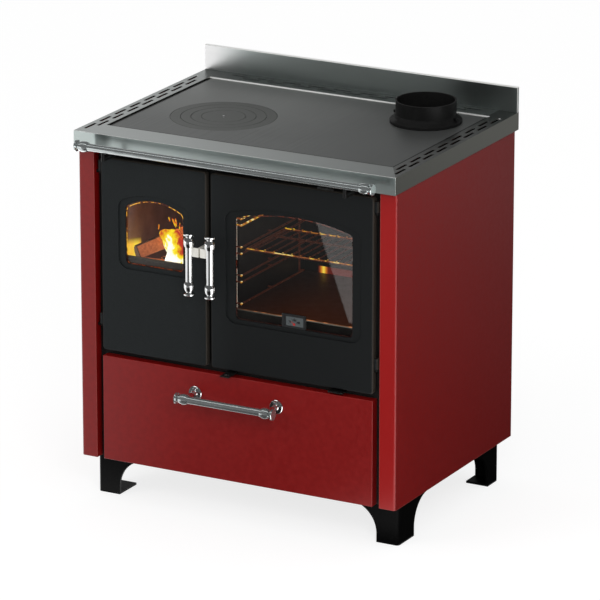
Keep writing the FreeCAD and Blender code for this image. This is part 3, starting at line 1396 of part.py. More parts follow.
os.makedirs("parts", exist_ok=True)
for node, piece in pieces.items():
    if piece.Label != node:
        piece.Label = node
    if piece.Shape.isNull() or not piece.Shape.isValid():
        raise RuntimeError(node + " has no valid shape")
    piece.Shape.exportStep("parts/%s.step" % node)
print(len(pieces), "pieces")
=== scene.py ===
import math
import random
from contextlib import contextmanager

import bmesh
import bpy
from mathutils import Matrix, Vector


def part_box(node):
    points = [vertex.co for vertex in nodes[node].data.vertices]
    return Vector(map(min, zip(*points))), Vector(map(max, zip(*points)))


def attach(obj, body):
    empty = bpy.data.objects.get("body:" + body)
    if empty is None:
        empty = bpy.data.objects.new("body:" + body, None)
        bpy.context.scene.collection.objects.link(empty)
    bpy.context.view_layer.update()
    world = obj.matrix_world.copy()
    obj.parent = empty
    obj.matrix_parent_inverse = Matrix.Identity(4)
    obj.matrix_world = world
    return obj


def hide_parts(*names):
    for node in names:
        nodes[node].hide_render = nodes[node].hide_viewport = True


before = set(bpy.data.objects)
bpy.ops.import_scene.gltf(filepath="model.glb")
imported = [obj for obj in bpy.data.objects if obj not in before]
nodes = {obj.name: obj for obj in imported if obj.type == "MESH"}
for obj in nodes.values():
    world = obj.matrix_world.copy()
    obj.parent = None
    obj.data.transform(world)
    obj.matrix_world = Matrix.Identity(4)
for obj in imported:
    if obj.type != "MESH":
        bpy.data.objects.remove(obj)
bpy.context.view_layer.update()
bpy.ops.object.select_all(action="DESELECT")
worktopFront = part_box("worktop_frame")[0][1]


def deep(distance):  # a depth behind the worktop's front edge
    return worktopFront + distance


# Nodes of the materials
def wire(tree, kind, inputs=(), **settings):
    node = tree.nodes.new("ShaderNode" + kind)
    for name, value in settings.items():
        setattr(node, name, value)
    for name, value in dict(inputs).items():
        if isinstance(value, bpy.types.NodeSocket):
            tree.links.new(value, node.inputs[name])
        else:
            node.inputs[name].default_value = value
    return node


def newFinish(name, **sockets):
    material = bpy.data.materials.new(name)
    material.use_nodes = True
    tree = material.node_tree
    shader = tree.nodes["Principled BSDF"]
    for socket, value in sockets.items():
        shader.inputs[socket.replace("_", " ")].default_value = value
    return material, tree, shader


def bareFinish(name):
    material = bpy.data.materials.new(name)
    material.use_nodes = True
    material.node_tree.nodes.clear()
    return material, material.node_tree


def grain(tree, scale, detail=2, stretch=(1, 1, 1)):
    place = wire(tree, "TexCoord").outputs["Object"]
    place = wire(tree, "Mapping", {"Vector": place, "Scale": stretch}).outputs[0]
    return wire(tree, "TexNoise", {"Vector": place, "Scale": scale, "Detail": detail}).outputs[0]


def ramp(tree, factor, *stops):
    node = wire(tree, "ValToRGB", {"Fac": factor})
    elements = node.color_ramp.elements
    while len(elements) < len(stops):
        elements.new(1)
    for element, (position, colour) in zip(elements, stops):
        element.position = position
        element.color = (*colour, 1)
    return node.outputs["Color"]


def level(tree, value, low, high, bottom=0.3, top=0.7):
    inputs = {"Value": value, "From Min": bottom, "From Max": top, "To Min": low, "To Max": high}
    return wire(tree, "MapRange", inputs).outputs[0]


def maths(tree, operation, first, second=0.0):
    return wire(tree, "Math", {0: first, 1: second}, operation=operation).outputs[0]


def chain(tree, operation, first, *others):
    for other in others:
        first = maths(tree, operation, first, other)
    return first


def allOf(tree, *masks):
    return chain(tree, "MULTIPLY", *masks)


def anyOf(tree, *masks):
    return chain(tree, "MAXIMUM", *masks)


def over(tree, value, limit):
    return maths(tree, "GREATER_THAN", value, limit)


def below(tree, value, limit):
    return maths(tree, "LESS_THAN", value, limit)


def apart(tree, value, middle):  # distance from a middle value
    return maths(tree, "ABSOLUTE", maths(tree, "SUBTRACT", value, middle))


def share(tree, first, part, second):  # a part of the first, the rest of the second
    return maths(tree, "ADD", maths(tree, "MULTIPLY", first, part), maths(tree, "MULTIPLY", second, 1 - part))


def tint(tree, factor, first, second):
    return wire(tree, "Mix", {0: factor, 6: first, 7: second}, data_type="RGBA").outputs[2]


def placeParts(tree):
    return wire(tree, "SeparateXYZ", {0: wire(tree, "TexCoord").outputs["Object"]}).outputs


def normalParts(tree):
    return wire(tree, "SeparateXYZ", {0: wire(tree, "NewGeometry").outputs["Normal"]}).outputs


def edgeTurn(tree, radius):  # 1 on flat faces, less over an edge
    soft = wire(tree, "Bevel", {"Radius": radius}, samples=6).outputs[0]
    normal = wire(tree, "NewGeometry").outputs["Normal"]
    return wire(tree, "VectorMath", {0: soft, 1: normal}, operation="DOT_PRODUCT").outputs["Value"]


def relief(tree, shader, height, distance, edge=0):  # bumps, over edges rounded by a width
    inputs = {"Height": height, "Distance": distance, "Strength": 1}
    if edge:
        inputs["Normal"] = wire(tree, "Bevel", {"Radius": edge}, samples=4).outputs[0]
    tree.links.new(wire(tree, "Bump", inputs).outputs[0], shader.inputs["Normal"])


def surface(name, colours, scale, rough, bumps, edge=0, **sockets):  # bumps: scale and height
    material, tree, shader = newFinish(name, **sockets)
    spots = grain(tree, scale, 4)
    tree.links.new(ramp(tree, spots, (0.32, colours[0]), (0.68, colours[1])), shader.inputs["Base Color"])
    tree.links.new(level(tree, spots, *rough), shader.inputs["Roughness"])
    relief(tree, shader, grain(tree, bumps[0], 3), bumps[1], edge)
    return material, tree, shader


def repaint(tree, shader, *layers):  # colours laid over the base colour, each through its mask
    plain = shader.inputs["Base Color"].links[0].from_socket
    for mask, colour in layers:
        plain = tint(tree, mask, plain, (*colour, 1) if isinstance(colour, tuple) else colour)
    tree.links.new(plain, shader.inputs["Base Color"])


def shine(tree, shader, colour, strength):  # light given off
    for socket, value in (("Emission Color", colour), ("Emission Strength", strength)):
        if isinstance(value, bpy.types.NodeSocket):
            tree.links.new(value, shader.inputs[socket])
        else:
            shader.inputs[socket].default_value = (*value, 1)


# Studio
cameraView = {"place": (5.2047, -9.5988, 3.9038), "aim": (0.168, -0.272, 0.552), "lens": 306.6}
studio = {
    "floorSize": 60, "skyLight": 0.62, "floorColour": 0.7, "floorGlow": 0.78,
    "lamps": [
        {"name": "softLeft", "place": (-3.4, -4.6, 3.6), "size": 3.2, "power": 64},
        {"name": "softRight", "place": (2.4, -3.2, 2.3), "size": 1.4, "power": 52},
    ],
    "tent": 0.10, "strip": 1.0, "tentRadius": 16,
}


def addCamera():
    camera = bpy.data.objects.new("camera", bpy.data.cameras.new("camera"))
    bpy.context.scene.collection.objects.link(camera)
    camera.location = cameraView["place"]
    direction = Vector(cameraView["aim"]) - camera.location
    camera.rotation_euler = direction.to_track_quat("-Z", "Y").to_euler()
    camera.data.lens = cameraView["lens"]
    camera.data.sensor_width = 36
    camera.data.clip_end = 200
    bpy.context.scene.camera = camera


def seenRay(tree):  # 1 where the camera sees it, straight, mirrored or through glass
    path = wire(tree, "LightPath").outputs
    return anyOf(tree, path["Is Camera Ray"], path["Is Glossy Ray"], path["Is Transmission Ray"])


def addWorld():
    world = bpy.data.worlds.new("studio")
    world.use_nodes = True
    bpy.context.scene.world = world
    tree = world.node_tree
    tree.nodes.clear()
    strength = level(tree, seenRay(tree), studio["skyLight"], 1, 0, 1)
    sky = wire(tree, "Background", {"Color": (1, 1, 1, 1), "Strength": strength})
    wire(tree, "OutputWorld", {"Surface": sky.outputs[0]})


def flatPlane(name, corners):
    mesh = bpy.data.meshes.new(name)
    mesh.from_pydata(corners, [], [tuple(range(len(corners)))])
    plane = bpy.data.objects.new(name, mesh)
    bpy.context.scene.collection.objects.link(plane)
    return plane


def square(reach, height):
    return [(x * reach, y * reach, height) for x, y in ((-1, -1), (1, -1), (1, 1), (-1, 1))]


def addFloor():
    floor = flatPlane("floor", square(studio["floorSize"], 0))
    material, tree = bareFinish("floorWhite")
    matt = wire(tree, "BsdfDiffuse", {"Color": (studio["floorColour"],) * 3 + (1,)})
    shadowed = wire(tree, "BsdfDiffuse", {"Color": (0.32, 0.32, 0.32, 1)})
    glow = wire(tree, "Emission", {"Strength": studio["floorGlow"]})
    shown = wire(tree, "AddShader", {0: shadowed.outputs[0], 1: glow.outputs[0]})
    both = wire(tree, "MixShader", {0: seenRay(tree), 1: matt.outputs[0], 2: shown.outputs[0]})
    wire(tree, "OutputMaterial", {"Surface": both.outputs[0]})
    floor.data.materials.append(material)


def glossOnly(plane, shade, gain=1):  # seen in gloss only, like a flag beside a product
    material, tree = bareFinish(plane.name)
    mirrored = over(tree, wire(tree, "LightPath").outputs["Glossy Depth"], 0.5)
    glow = wire(tree, "Emission", {"Color": shade(tree), "Strength": gain})
    clear = wire(tree, "BsdfTransparent")
    both = wire(tree, "MixShader", {0: mirrored, 1: clear.outputs[0], 2: glow.outputs[0]})
    wire(tree, "OutputMaterial", {"Surface": both.outputs[0]})
    plane.data.materials.append(material)
    for ray in ("camera", "diffuse", "shadow"):
        setattr(plane, "visible_" + ray, False)


def greys(*stops):
    return [(position, (grey,) * 3) for position, grey in stops]


def floorShade(tree):  # pale at the left and far right in front, dark beside the stove; shown at twice its value
    place = placeParts(tree)
    x, y = place["X"], place["Y"]
    across = maths(tree, "SUBTRACT", x, allOf(tree, maths(tree, "ADD", y, 0.26), 0.538))
    across = level(tree, across, 0, 1, -0.5, 0.5)
    near = ramp(tree, across, *greys((0, 0.5), (0.06, 0.44), (0.33, 0.05), (0.6, 0.006)))
    far = ramp(tree, across, *greys((0.08, 0.65), (0.15, 0.09), (0.35, 0.12), (0.6, 0.09), (0.9, 0.085)))
    front = tint(tree, level(tree, y, 0, 1, -1.5, -2.2), near, far)
    farRight = maths(tree, "ADD", x, allOf(tree, maths(tree, "ADD", y, 0.3), 0.84))
    farRight = level(tree, farRight, 0, 0.45, 0, 0.25)
    ahead = tint(tree, farRight, front, (3, 3, 3, 1))
    right = ramp(tree, level(tree, y, 0, 1, 0.6, 2.6), *greys((0, 0.012), (0.6, 0.05), (1, 0.12)))
    beside = tint(tree, level(tree, x, 0, 1, -0.3, 0.1), (0.95, 0.95, 0.95, 1), right)
    return tint(tree, level(tree, y, 0, 1, -0.34, -0.26), ahead, beside)


def backShade(tree):
    return ramp(tree, level(tree, placeParts(tree)["X"], 0, 1, -2.9, -1.5), *greys((0, 0.72), (1, 0.19)))


def tentShade(tree):  # dim all over, with one bright strip overhead along the width
    place = placeParts(tree)
    slope = maths(tree, "ADD", maths(tree, "DIVIDE", place["Y"], maths(tree, "MAXIMUM", place["Z"], 0.5)), 0.40)
    strip = level(tree, maths(tree, "ABSOLUTE", slope), studio["strip"], 0, 0.06, 0.1)
    return tint(tree, strip, (studio["tent"],) * 3 + (1,), (1.6, 1.6, 1.6, 1))


def addStudio():
    addFloor()
    addWorld()
    for lamp in studio["lamps"]:
        data = bpy.data.lights.new(lamp["name"], "AREA")
        data.size = lamp["size"]
        data.energy = lamp["power"]
        light = bpy.data.objects.new(lamp["name"], data)
        bpy.context.scene.collection.objects.link(light)
        light.location = lamp["place"]
        light.visible_glossy = False  # the cards stand for them in gloss
        light.rotation_euler = (Vector((0, 0, 0.5)) - light.location).to_track_quat("-Z", "Y").to_euler()
    reach = studio["tentRadius"]
    glossOnly(flatPlane("floorFlag", square(reach, 0.003)), floorShade, 2)
    glossOnly(flatPlane("backCard", [(-8, 4, 0), (3, 4, 0), (3, 4, 4.5), (-8, 4, 4.5)]), backShade)
    streak = [(-0.455, -1.638, 0.006), (-1.0, -2.46, 0.006), (-0.70, -2.46, 0.006), (-0.41, -1.638, 0.006)]
    glossOnly(flatPlane("glassStreak", streak), lambda tree: ramp(tree, grain(tree, 1), *greys((0, 0.95), (1, 1))))
    bpy.ops.mesh.primitive_uv_sphere_add(segments=64, ring_count=32, radius=reach, location=(0, 0, 0))
    tent = bpy.context.object
    tent.name = "tent"
    glossOnly(tent, tentShade)
    bpy.ops.object.select_all(action="DESELECT")


# Finishes of the stove
finishes = {}
black = (0.004, 0.004, 0.004)
enamel = {
    "colours": ((0.205, 0.0024, 0.0022), (0.235, 0.0036, 0.0032)), "rear": (0.168, 0.0034, 0.0030),
    "flange": (0.33, 0.0030, 0.0028), "flangeFrom": 0.343, "foldHighlight": (0.42, 0.11, 0.09), "foldWidth": 0.0028,
}


def makeEnamel():  # painted shade darkens the sides to the rear, painted light brightens the right flange, painted highlights run pale along the folds
    material, tree, shader = surface("redEnamel", enamel["colours"], 90, (0.36, 0.44), (1500, 0.00004), 0.0015,
                                     Specular_IOR_Level=0.35, Coat_Weight=0.3, Coat_Roughness=0.18)
    place, turned = placeParts(tree), normalParts(tree)
    # painted shade: the side panels' red darkens towards the rear
    rear = allOf(tree, level(tree, maths(tree, "ABSOLUTE", turned["X"]), 0, 1, 0.6, 0.9),
                 level(tree, place["Y"], 0, 1, -0.24, 0.32))
    # painted light: the right panel's front flange is a brighter red
    flange = allOf(tree, over(tree, place["X"], enamel["flangeFrom"]), below(tree, turned["Y"], -0.7))
    # painted highlight: pale red along every rounded fold and edge
    foldHighlights = level(tree, edgeTurn(tree, enamel["foldWidth"]), 0.75, 0, 0.80, 0.97)
    repaint(tree, shader, (rear, enamel["rear"]), (flange, enamel["flange"]), (foldHighlights, enamel["foldHighlight"]))
    return material


doorIron = {
    "colours": ((0.0068, 0.0088, 0.0095), (0.0195, 0.0230, 0.0242)), "edgeHighlight": (0.05, 0.042, 0.034),
    "gap": -0.068, "gapReach": 0.0115, "sideRim": 0.014, "topRim": 0.0055,
}


def makeDoorIron():  # painted highlight on its rounded rim, painted shade darkens the oven door
    material, tree, shader = surface("doorIron", doorIron["colours"], 1100, (0.55, 0.7), (900, 0.00009), 0.0016,
                                     Specular_IOR_Level=0.25)
    place = placeParts(tree)
    left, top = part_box("fire_door_casting")[0][0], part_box("oven_door_casting")[1][2]
    rim = anyOf(tree, below(tree, apart(tree, place["X"], doorIron["gap"]), doorIron["gapReach"]),
                over(tree, maths(tree, "ABSOLUTE", place["X"]), -left - doorIron["sideRim"]),
                over(tree, place["Z"], top - doorIron["topRim"]))
    rounded = level(tree, maths(tree, "ABSOLUTE", normalParts(tree)["Y"]), 1, 0, 0.55, 0.97)
    # painted shade: the oven door darker than the fire door
    ovenDoorShade = level(tree, place["X"], 0, 0.55, -0.12, 0.0)
    # painted highlight: brown-grey along the doors' rounded rim
    repaint(tree, shader, (ovenDoorShade, black), (allOf(tree, rounded, rim, 0.85), doorIron["edgeHighlight"]))
    return material


stainless = {
    "colours": ((0.49, 0.52, 0.51), (0.54, 0.57, 0.56)), "edge": (0.92, 0.93, 0.91), "side": (0.41, 0.415, 0.375),
    "rightTopShade": (0.25, 0.26, 0.25), "inside": (0.006, 0.006, 0.006), "sheet": 0.002, "lip": 0.006, "rim": 0.0012,
    "apronReflections": [(0, 0.74), (0.068, 0.74), (0.071, 0.27), (0.10, 0.30), (0.125, 0.66), (0.3, 0.70),
                   (0.55, 0.66), (0.86, 0.84), (0.97, 0.66)],  # painted reflection along the apron from left to right
    "splashReflections": [(0.03, (1, 1, 1)), (0.15, (0.74, 0.81, 0.79))],
}


def makeStainless():
    material, tree, shader = newFinish("brushedStainless", Metallic=1.0)
    place, turned = placeParts(tree), normalParts(tree)
    low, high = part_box("worktop_frame")
    plateLow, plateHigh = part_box("cooktop_plate")
    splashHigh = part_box("backsplash")[1]
    across = over(tree, maths(tree, "ABSOLUTE", turned["X"]), 0.7)
    streaks = wire(tree, "Mix", {0: across, 2: grain(tree, 1, 3, (6, 900, 900)),
                                 3: grain(tree, 1, 3, (900, 6, 900))}).outputs[0]
    forward = below(tree, turned["Y"], -0.7)
    onApron = below(tree, place["Y"], low[1] + 0.003)
    onSplash = over(tree, place["Z"], high[2] + 0.001)
    # painted shade: what lies inside, under the sheet, is painted dark
    inside = allOf(tree, below(tree, place["Z"], plateHigh[2] - 0.0004),
                   below(tree, maths(tree, "ABSOLUTE", place["X"]), high[0] - stainless["sheet"]),
                   over(tree, place["Y"], low[1] + stainless["sheet"]))
    # painted highlights on edges: the front top edge, the lip behind the plate, the backsplash's rim and right end
    edgeHighlight = level(tree, edgeTurn(tree, 0.0016), 1, 0, 0.90, 0.985)
    bright = anyOf(tree, allOf(tree, edgeHighlight, onApron, below(tree, apart(tree, place["Z"], high[2]), 0.003)),
                   allOf(tree, forward, below(tree, apart(tree, place["Y"], plateHigh[1]), stainless["lip"])),
                   over(tree, place["Z"], splashHigh[2] - stainless["rim"]),
                   allOf(tree, onSplash, over(tree, place["X"], splashHigh[0] - 0.0006)))
    # painted reflection as tones along the brushed faces; painted shade on the right border, which is mitred at its
    # front end
    along = level(tree, place["X"], 0, 1, -high[0], high[0])
    apronReflectionRamp = ramp(tree, along, *[(spot, (0.94 * tone, 1.05 * tone, 1.02 * tone))
                                for spot, tone in stainless["apronReflections"]])
    outer = maths(tree, "DIVIDE", maths(tree, "SUBTRACT", high[0], place["X"]), high[0] - plateHigh[0])
    ahead = maths(tree, "DIVIDE", maths(tree, "SUBTRACT", place["Y"], low[1]), plateLow[1] - low[1])
    mitred = allOf(tree, over(tree, turned["Z"], 0.7), below(tree, outer, ahead), below(tree, outer, 1.05))
    tree.links.new(ramp(tree, streaks, *zip((0.3, 0.7), stainless["colours"])), shader.inputs["Base Color"])
    # painted shade: the side faces and the right border top are darker
    repaint(tree, shader, (allOf(tree, forward, onApron), apronReflectionRamp),
            (allOf(tree, forward, onSplash), ramp(tree, along, *stainless["splashReflections"])),
            (over(tree, turned["X"], 0.7), stainless["side"]), (mitred, stainless["rightTopShade"]),
            (inside, stainless["inside"]), (bright, stainless["edge"]))
    tree.links.new(level(tree, bright, 1, 0.1, 0, 1), shader.inputs["Metallic"])
    tree.links.new(level(tree, streaks, 0.30, 0.36), shader.inputs["Roughness"])
    relief(tree, shader, streaks, 0.00001, 0.001)
    return material


hobIron = {
    "colours": ((0.200, 0.208, 0.204), (0.285, 0.294, 0.288)), "rearLeftReflection": (0.355, 0.365, 0.357),
    "right": (0.200, 0.207, 0.203), "gapShadowSides": 0.0045, "gapShadowFront": 0.0075,
}


def makeHobIron():  # brushed, with painted reflection brighter at the rear left and darker to the right, and painted shadow along the front and the sides, beside the seal
    material, tree, shader = newFinish("hobIron", Metallic=0.75)
    streaks = grain(tree, 1, 4, (420, 4, 420))
    both = share(tree, streaks, 0.6, grain(tree, 9, 3))
    place = placeParts(tree)
    low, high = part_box("cooktop_plate")
    rearLeftReflection = allOf(tree, level(tree, place["Y"], 0, 1, -0.10, 0.18), level(tree, place["X"], 1, 0, -0.10, 0.14))
    # painted shadow: black band in the gap along the front and the sides
    gapShadow = anyOf(tree, over(tree, maths(tree, "ABSOLUTE", place["X"]), high[0] - hobIron["gapShadowSides"]),
                 below(tree, place["Y"], low[1] + hobIron["gapShadowFront"]))
    tree.links.new(ramp(tree, both, *zip((0.35, 0.65), hobIron["colours"])), shader.inputs["Base Color"])
    # painted reflection: brighter at the rear left, darker to the right
    repaint(tree, shader, (rearLeftReflection, hobIron["rearLeftReflection"]),
            (level(tree, place["X"], 0, 0.8, 0.05, 0.28), hobIron["right"]), (gapShadow, black))
    tree.links.new(level(tree, gapShadow, 0.75, 0, 0, 1), shader.inputs["Metallic"])
    tree.links.new(level(tree, both, 0.42, 0.54), shader.inputs["Roughness"])
    relief(tree, shader, streaks, 0.00008, 0.0008)
    return material


ringIron = {"colours": ((0.148, 0.155, 0.148), (0.208, 0.217, 0.207)), "marks": 900, "pin": 0.004}


def makeRingIron():  # turned, so its marks run round the lid
    material, tree, shader = newFinish("ringIron", Metallic=0.75)
    centre = [-sum(pair) / 2 for pair in zip(*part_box("hob_ring_outer"))]
    place = wire(tree, "TexCoord").outputs["Object"]
    place = wire(tree, "Mapping", {"Vector": place, "Location": centre}).outputs[0]
    radius = wire(tree, "VectorMath", {0: place}, operation="LENGTH").outputs["Value"]
    marks = wire(tree, "TexNoise", {"W": maths(tree, "MULTIPLY", radius, ringIron["marks"]), "Scale": 1},
                 noise_dimensions="1D").outputs[0]
    both = share(tree, marks, 0.5, grain(tree, 14, 3))
    tree.links.new(ramp(tree, both, *zip((0.35, 0.65), ringIron["colours"])), shader.inputs["Base Color"])
    # painted highlight: white round the lid's centre pin
    repaint(tree, shader, (below(tree, radius, ringIron["pin"]), (0.95, 0.95, 0.95)))
    tree.links.new(level(tree, both, 0.4, 0.55), shader.inputs["Roughness"])
    relief(tree, shader, marks, 0.0001, 0.0008)
    return material


ovenSteel = {
    "colours": ((0.008, 0.0068, 0.006), (0.015, 0.012, 0.010)), "floor": 0.075, "spot": (0.034, 0.503),
    "spotWide": 0.015, "spotHigh": 0.008, "band": 0.22, "ivoryDepth": 0.0092, "ivoryGap": 0.594,
    "ivory": (0.85, 0.80, 0.68, 1), "orange": (1, 0.36, 0.12, 1),
}


def makeOvenSteel():
    material, tree, shader = surface("ovenSteel", ovenSteel["colours"], 40, (0.42, 0.55), (700, 0.00004), 0.0006,
                                     Metallic=0.5)
    place = placeParts(tree)
    low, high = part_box("oven_box")
    # warm light on the floor, brighter to the front, and a glow low on the rear wall
    onFloor = level(tree, place["Z"], 1, 0, low[2] + 0.004, low[2] + 0.006)
    floorGlow = allOf(tree, onFloor, level(tree, place["Y"], 1, 0.25, low[1], high[1]),
                      level(tree, place["X"], 0.25, 1, low[0], low[0] + 0.16), ovenSteel["floor"])
    spotX, spotZ = ovenSteel["spot"]
    spot = anyOf(tree, level(tree, apart(tree, place["X"], spotX), 1, 0, 0.001, ovenSteel["spotWide"]),
                 level(tree, place["X"], 0, ovenSteel["band"], spotX, spotX + 0.012))
    spot = allOf(tree, spot, over(tree, place["Y"], high[1] - 0.006),
                 below(tree, apart(tree, place["Z"], spotZ), ovenSteel["spotHigh"]))
    hot = ramp(tree, spot, (0, (0.4, 0.1, 0.04)), (0.22, (0.5, 0.05, 0.03)), (0.6, (1, 0.3, 0.02)),
               (1, (1, 0.75, 0.08)))
    # front edges catch the light: ivory at the left, orange dashes over grey along the floor
    ivory = allOf(tree, below(tree, apart(tree, place["Y"], low[1] + ovenSteel["ivoryDepth"]), 0.0028),
                  below(tree, place["X"], low[0] + 0.0030),
                  over(tree, apart(tree, place["Z"], ovenSteel["ivoryGap"]), 0.0095))
    floorEdge = allOf(tree, onFloor, below(tree, place["Y"], low[1] + 0.0048))
    lip = below(tree, place["Y"], low[1] + 0.0004)
    orange = allOf(tree, floorEdge, level(tree, grain(tree, 55, 2, (1, 0.1, 0.1)), 0.2, 1, 0.42, 0.58),
                   level(tree, place["X"], 0.12, 0.8, low[0], low[0] + 0.12), maths(tree, "SUBTRACT", 1.0, lip))
    grey = allOf(tree, floorEdge, lip, level(tree, place["X"], 0.03, 0.16, low[0], low[0] + 0.12))
    hot = tint(tree, over(tree, orange, 0.01), hot, ovenSteel["orange"])
    hot = tint(tree, anyOf(tree, ivory, over(tree, grey, 0.01)), hot, ovenSteel["ivory"])
    shine(tree, shader, hot, anyOf(tree, floorGlow, spot, orange, ivory, grey))
    return material


wireSteel = {
    "colours": ((0.07, 0.030, 0.020), (0.12, 0.055, 0.035)), "frontBar": 0.9, "rearBar": 0.75, "barInset": 0.0025,
    "glowAllOver": 0.032,
    "glow": [(0.04, (0.85, 0.17, 0.06)), (0.4, (1, 0.34, 0.04)), (0.75, (1, 0.66, 0.04)), (1, (1, 0.86, 0.45))],
}


def makeWireSteel():  # painted glints as golden dashes on the rack's two cross bars, the top wires and the wires' tips, over a faint painted glow
    material, tree, shader = surface("wireSteel", wireSteel["colours"], 120, (0.25, 0.35), (800, 0.00003),
                                     Metallic=0.8)
    place, upward = placeParts(tree), normalParts(tree)["Z"]
    low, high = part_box("oven_guides")
    rackLow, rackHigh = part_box("oven_rack")
    inset = wireSteel["barInset"]
    bars = [level(tree, apart(tree, place["Y"], bar), strength, 0, 0.004, 0.007)
            for bar, strength in ((rackLow[1] + inset, wireSteel["frontBar"]),
                                  (rackHigh[1] - inset, wireSteel["rearBar"]))]
    bars = allOf(tree, anyOf(tree, *bars), over(tree, place["X"], rackLow[0] + 0.004),
                 level(tree, upward, 0, 1, 0.25, 0.5))
    top = level(tree, place["Z"], 0, 1, high[2] - 0.045, high[2] - 0.02)
    lit = allOf(tree, anyOf(tree, top, bars), level(tree, grain(tree, 60, 2), 0.25, 1, 0.45, 0.62))
    tip = allOf(tree, below(tree, place["Y"], low[1] + 0.0035), over(tree, place["X"], low[0] + 0.010),
                level(tree, upward, 0.3, 1, -0.2, 0.6))
    # painted light: the wires give off glints and glow though they are no lamp
    warm = anyOf(tree, lit, tip, wireSteel["glowAllOver"])
    shine(tree, shader, ramp(tree, warm, *wireSteel["glow"]), warm)
    return material


firebrick = {
    "colours": ((0.16, 0.078, 0.053), (0.25, 0.130, 0.088)), "slope": 0.2, "patchHigh": (0.585, 0.600),
    "patchDeep": (deep(0.130), deep(0.135)), "haloHigh": (0.598, 0.655), "haloDeep": (deep(0.10), deep(0.15)),
    "leftWall": (-0.306, -0.304), "halo": (1, 0.52, 0.16, 1),
    "fire": [(0.3, (1, 0.50, 0.03)), (0.62, (1, 0.76, 0.05))],
}


def makeFirebrick():  # the flames shine on the left wall, low and near the door, and fade above
    material, tree, shader = surface("firebrick", firebrick["colours"], 26, (0.85, 0.95), (260, 0.0006), 0.001)
    place = placeParts(tree)
    slope = maths(tree, "ADD", place["Z"], maths(tree, "MULTIPLY", place["Y"], firebrick["slope"]))
    slope = maths(tree, "SUBTRACT", slope, firebrick["slope"] * deep(0.1))
    patch = allOf(tree, level(tree, slope, 1, 0, *firebrick["patchHigh"]),
                  level(tree, place["Y"], 1, 0, *firebrick["patchDeep"]),
                  level(tree, place["X"], 1, 0, *firebrick["leftWall"]))
    halo = allOf(tree, level(tree, slope, 0.10, 0, *firebrick["haloHigh"]),
                 level(tree, place["Y"], 1, 0, *firebrick["haloDeep"]))
    fire = ramp(tree, grain(tree, 45, 3), *firebrick["fire"])
    shine(tree, shader, tint(tree, over(tree, patch, 0.01), firebrick["halo"], fire), anyOf(tree, patch, halo))
    return material


def makeGlass():
    material, tree, shader = newFinish("ceramicGlass", Transmission_Weight=1.0, Roughness=0.0, IOR=1.5)
    haze = ramp(tree, grain(tree, 6, 3), (0.3, (0.86, 0.83, 0.80)), (0.7, (0.93, 0.91, 0.88)))
    tree.links.new(haze, shader.inputs["Base Color"])
    return material


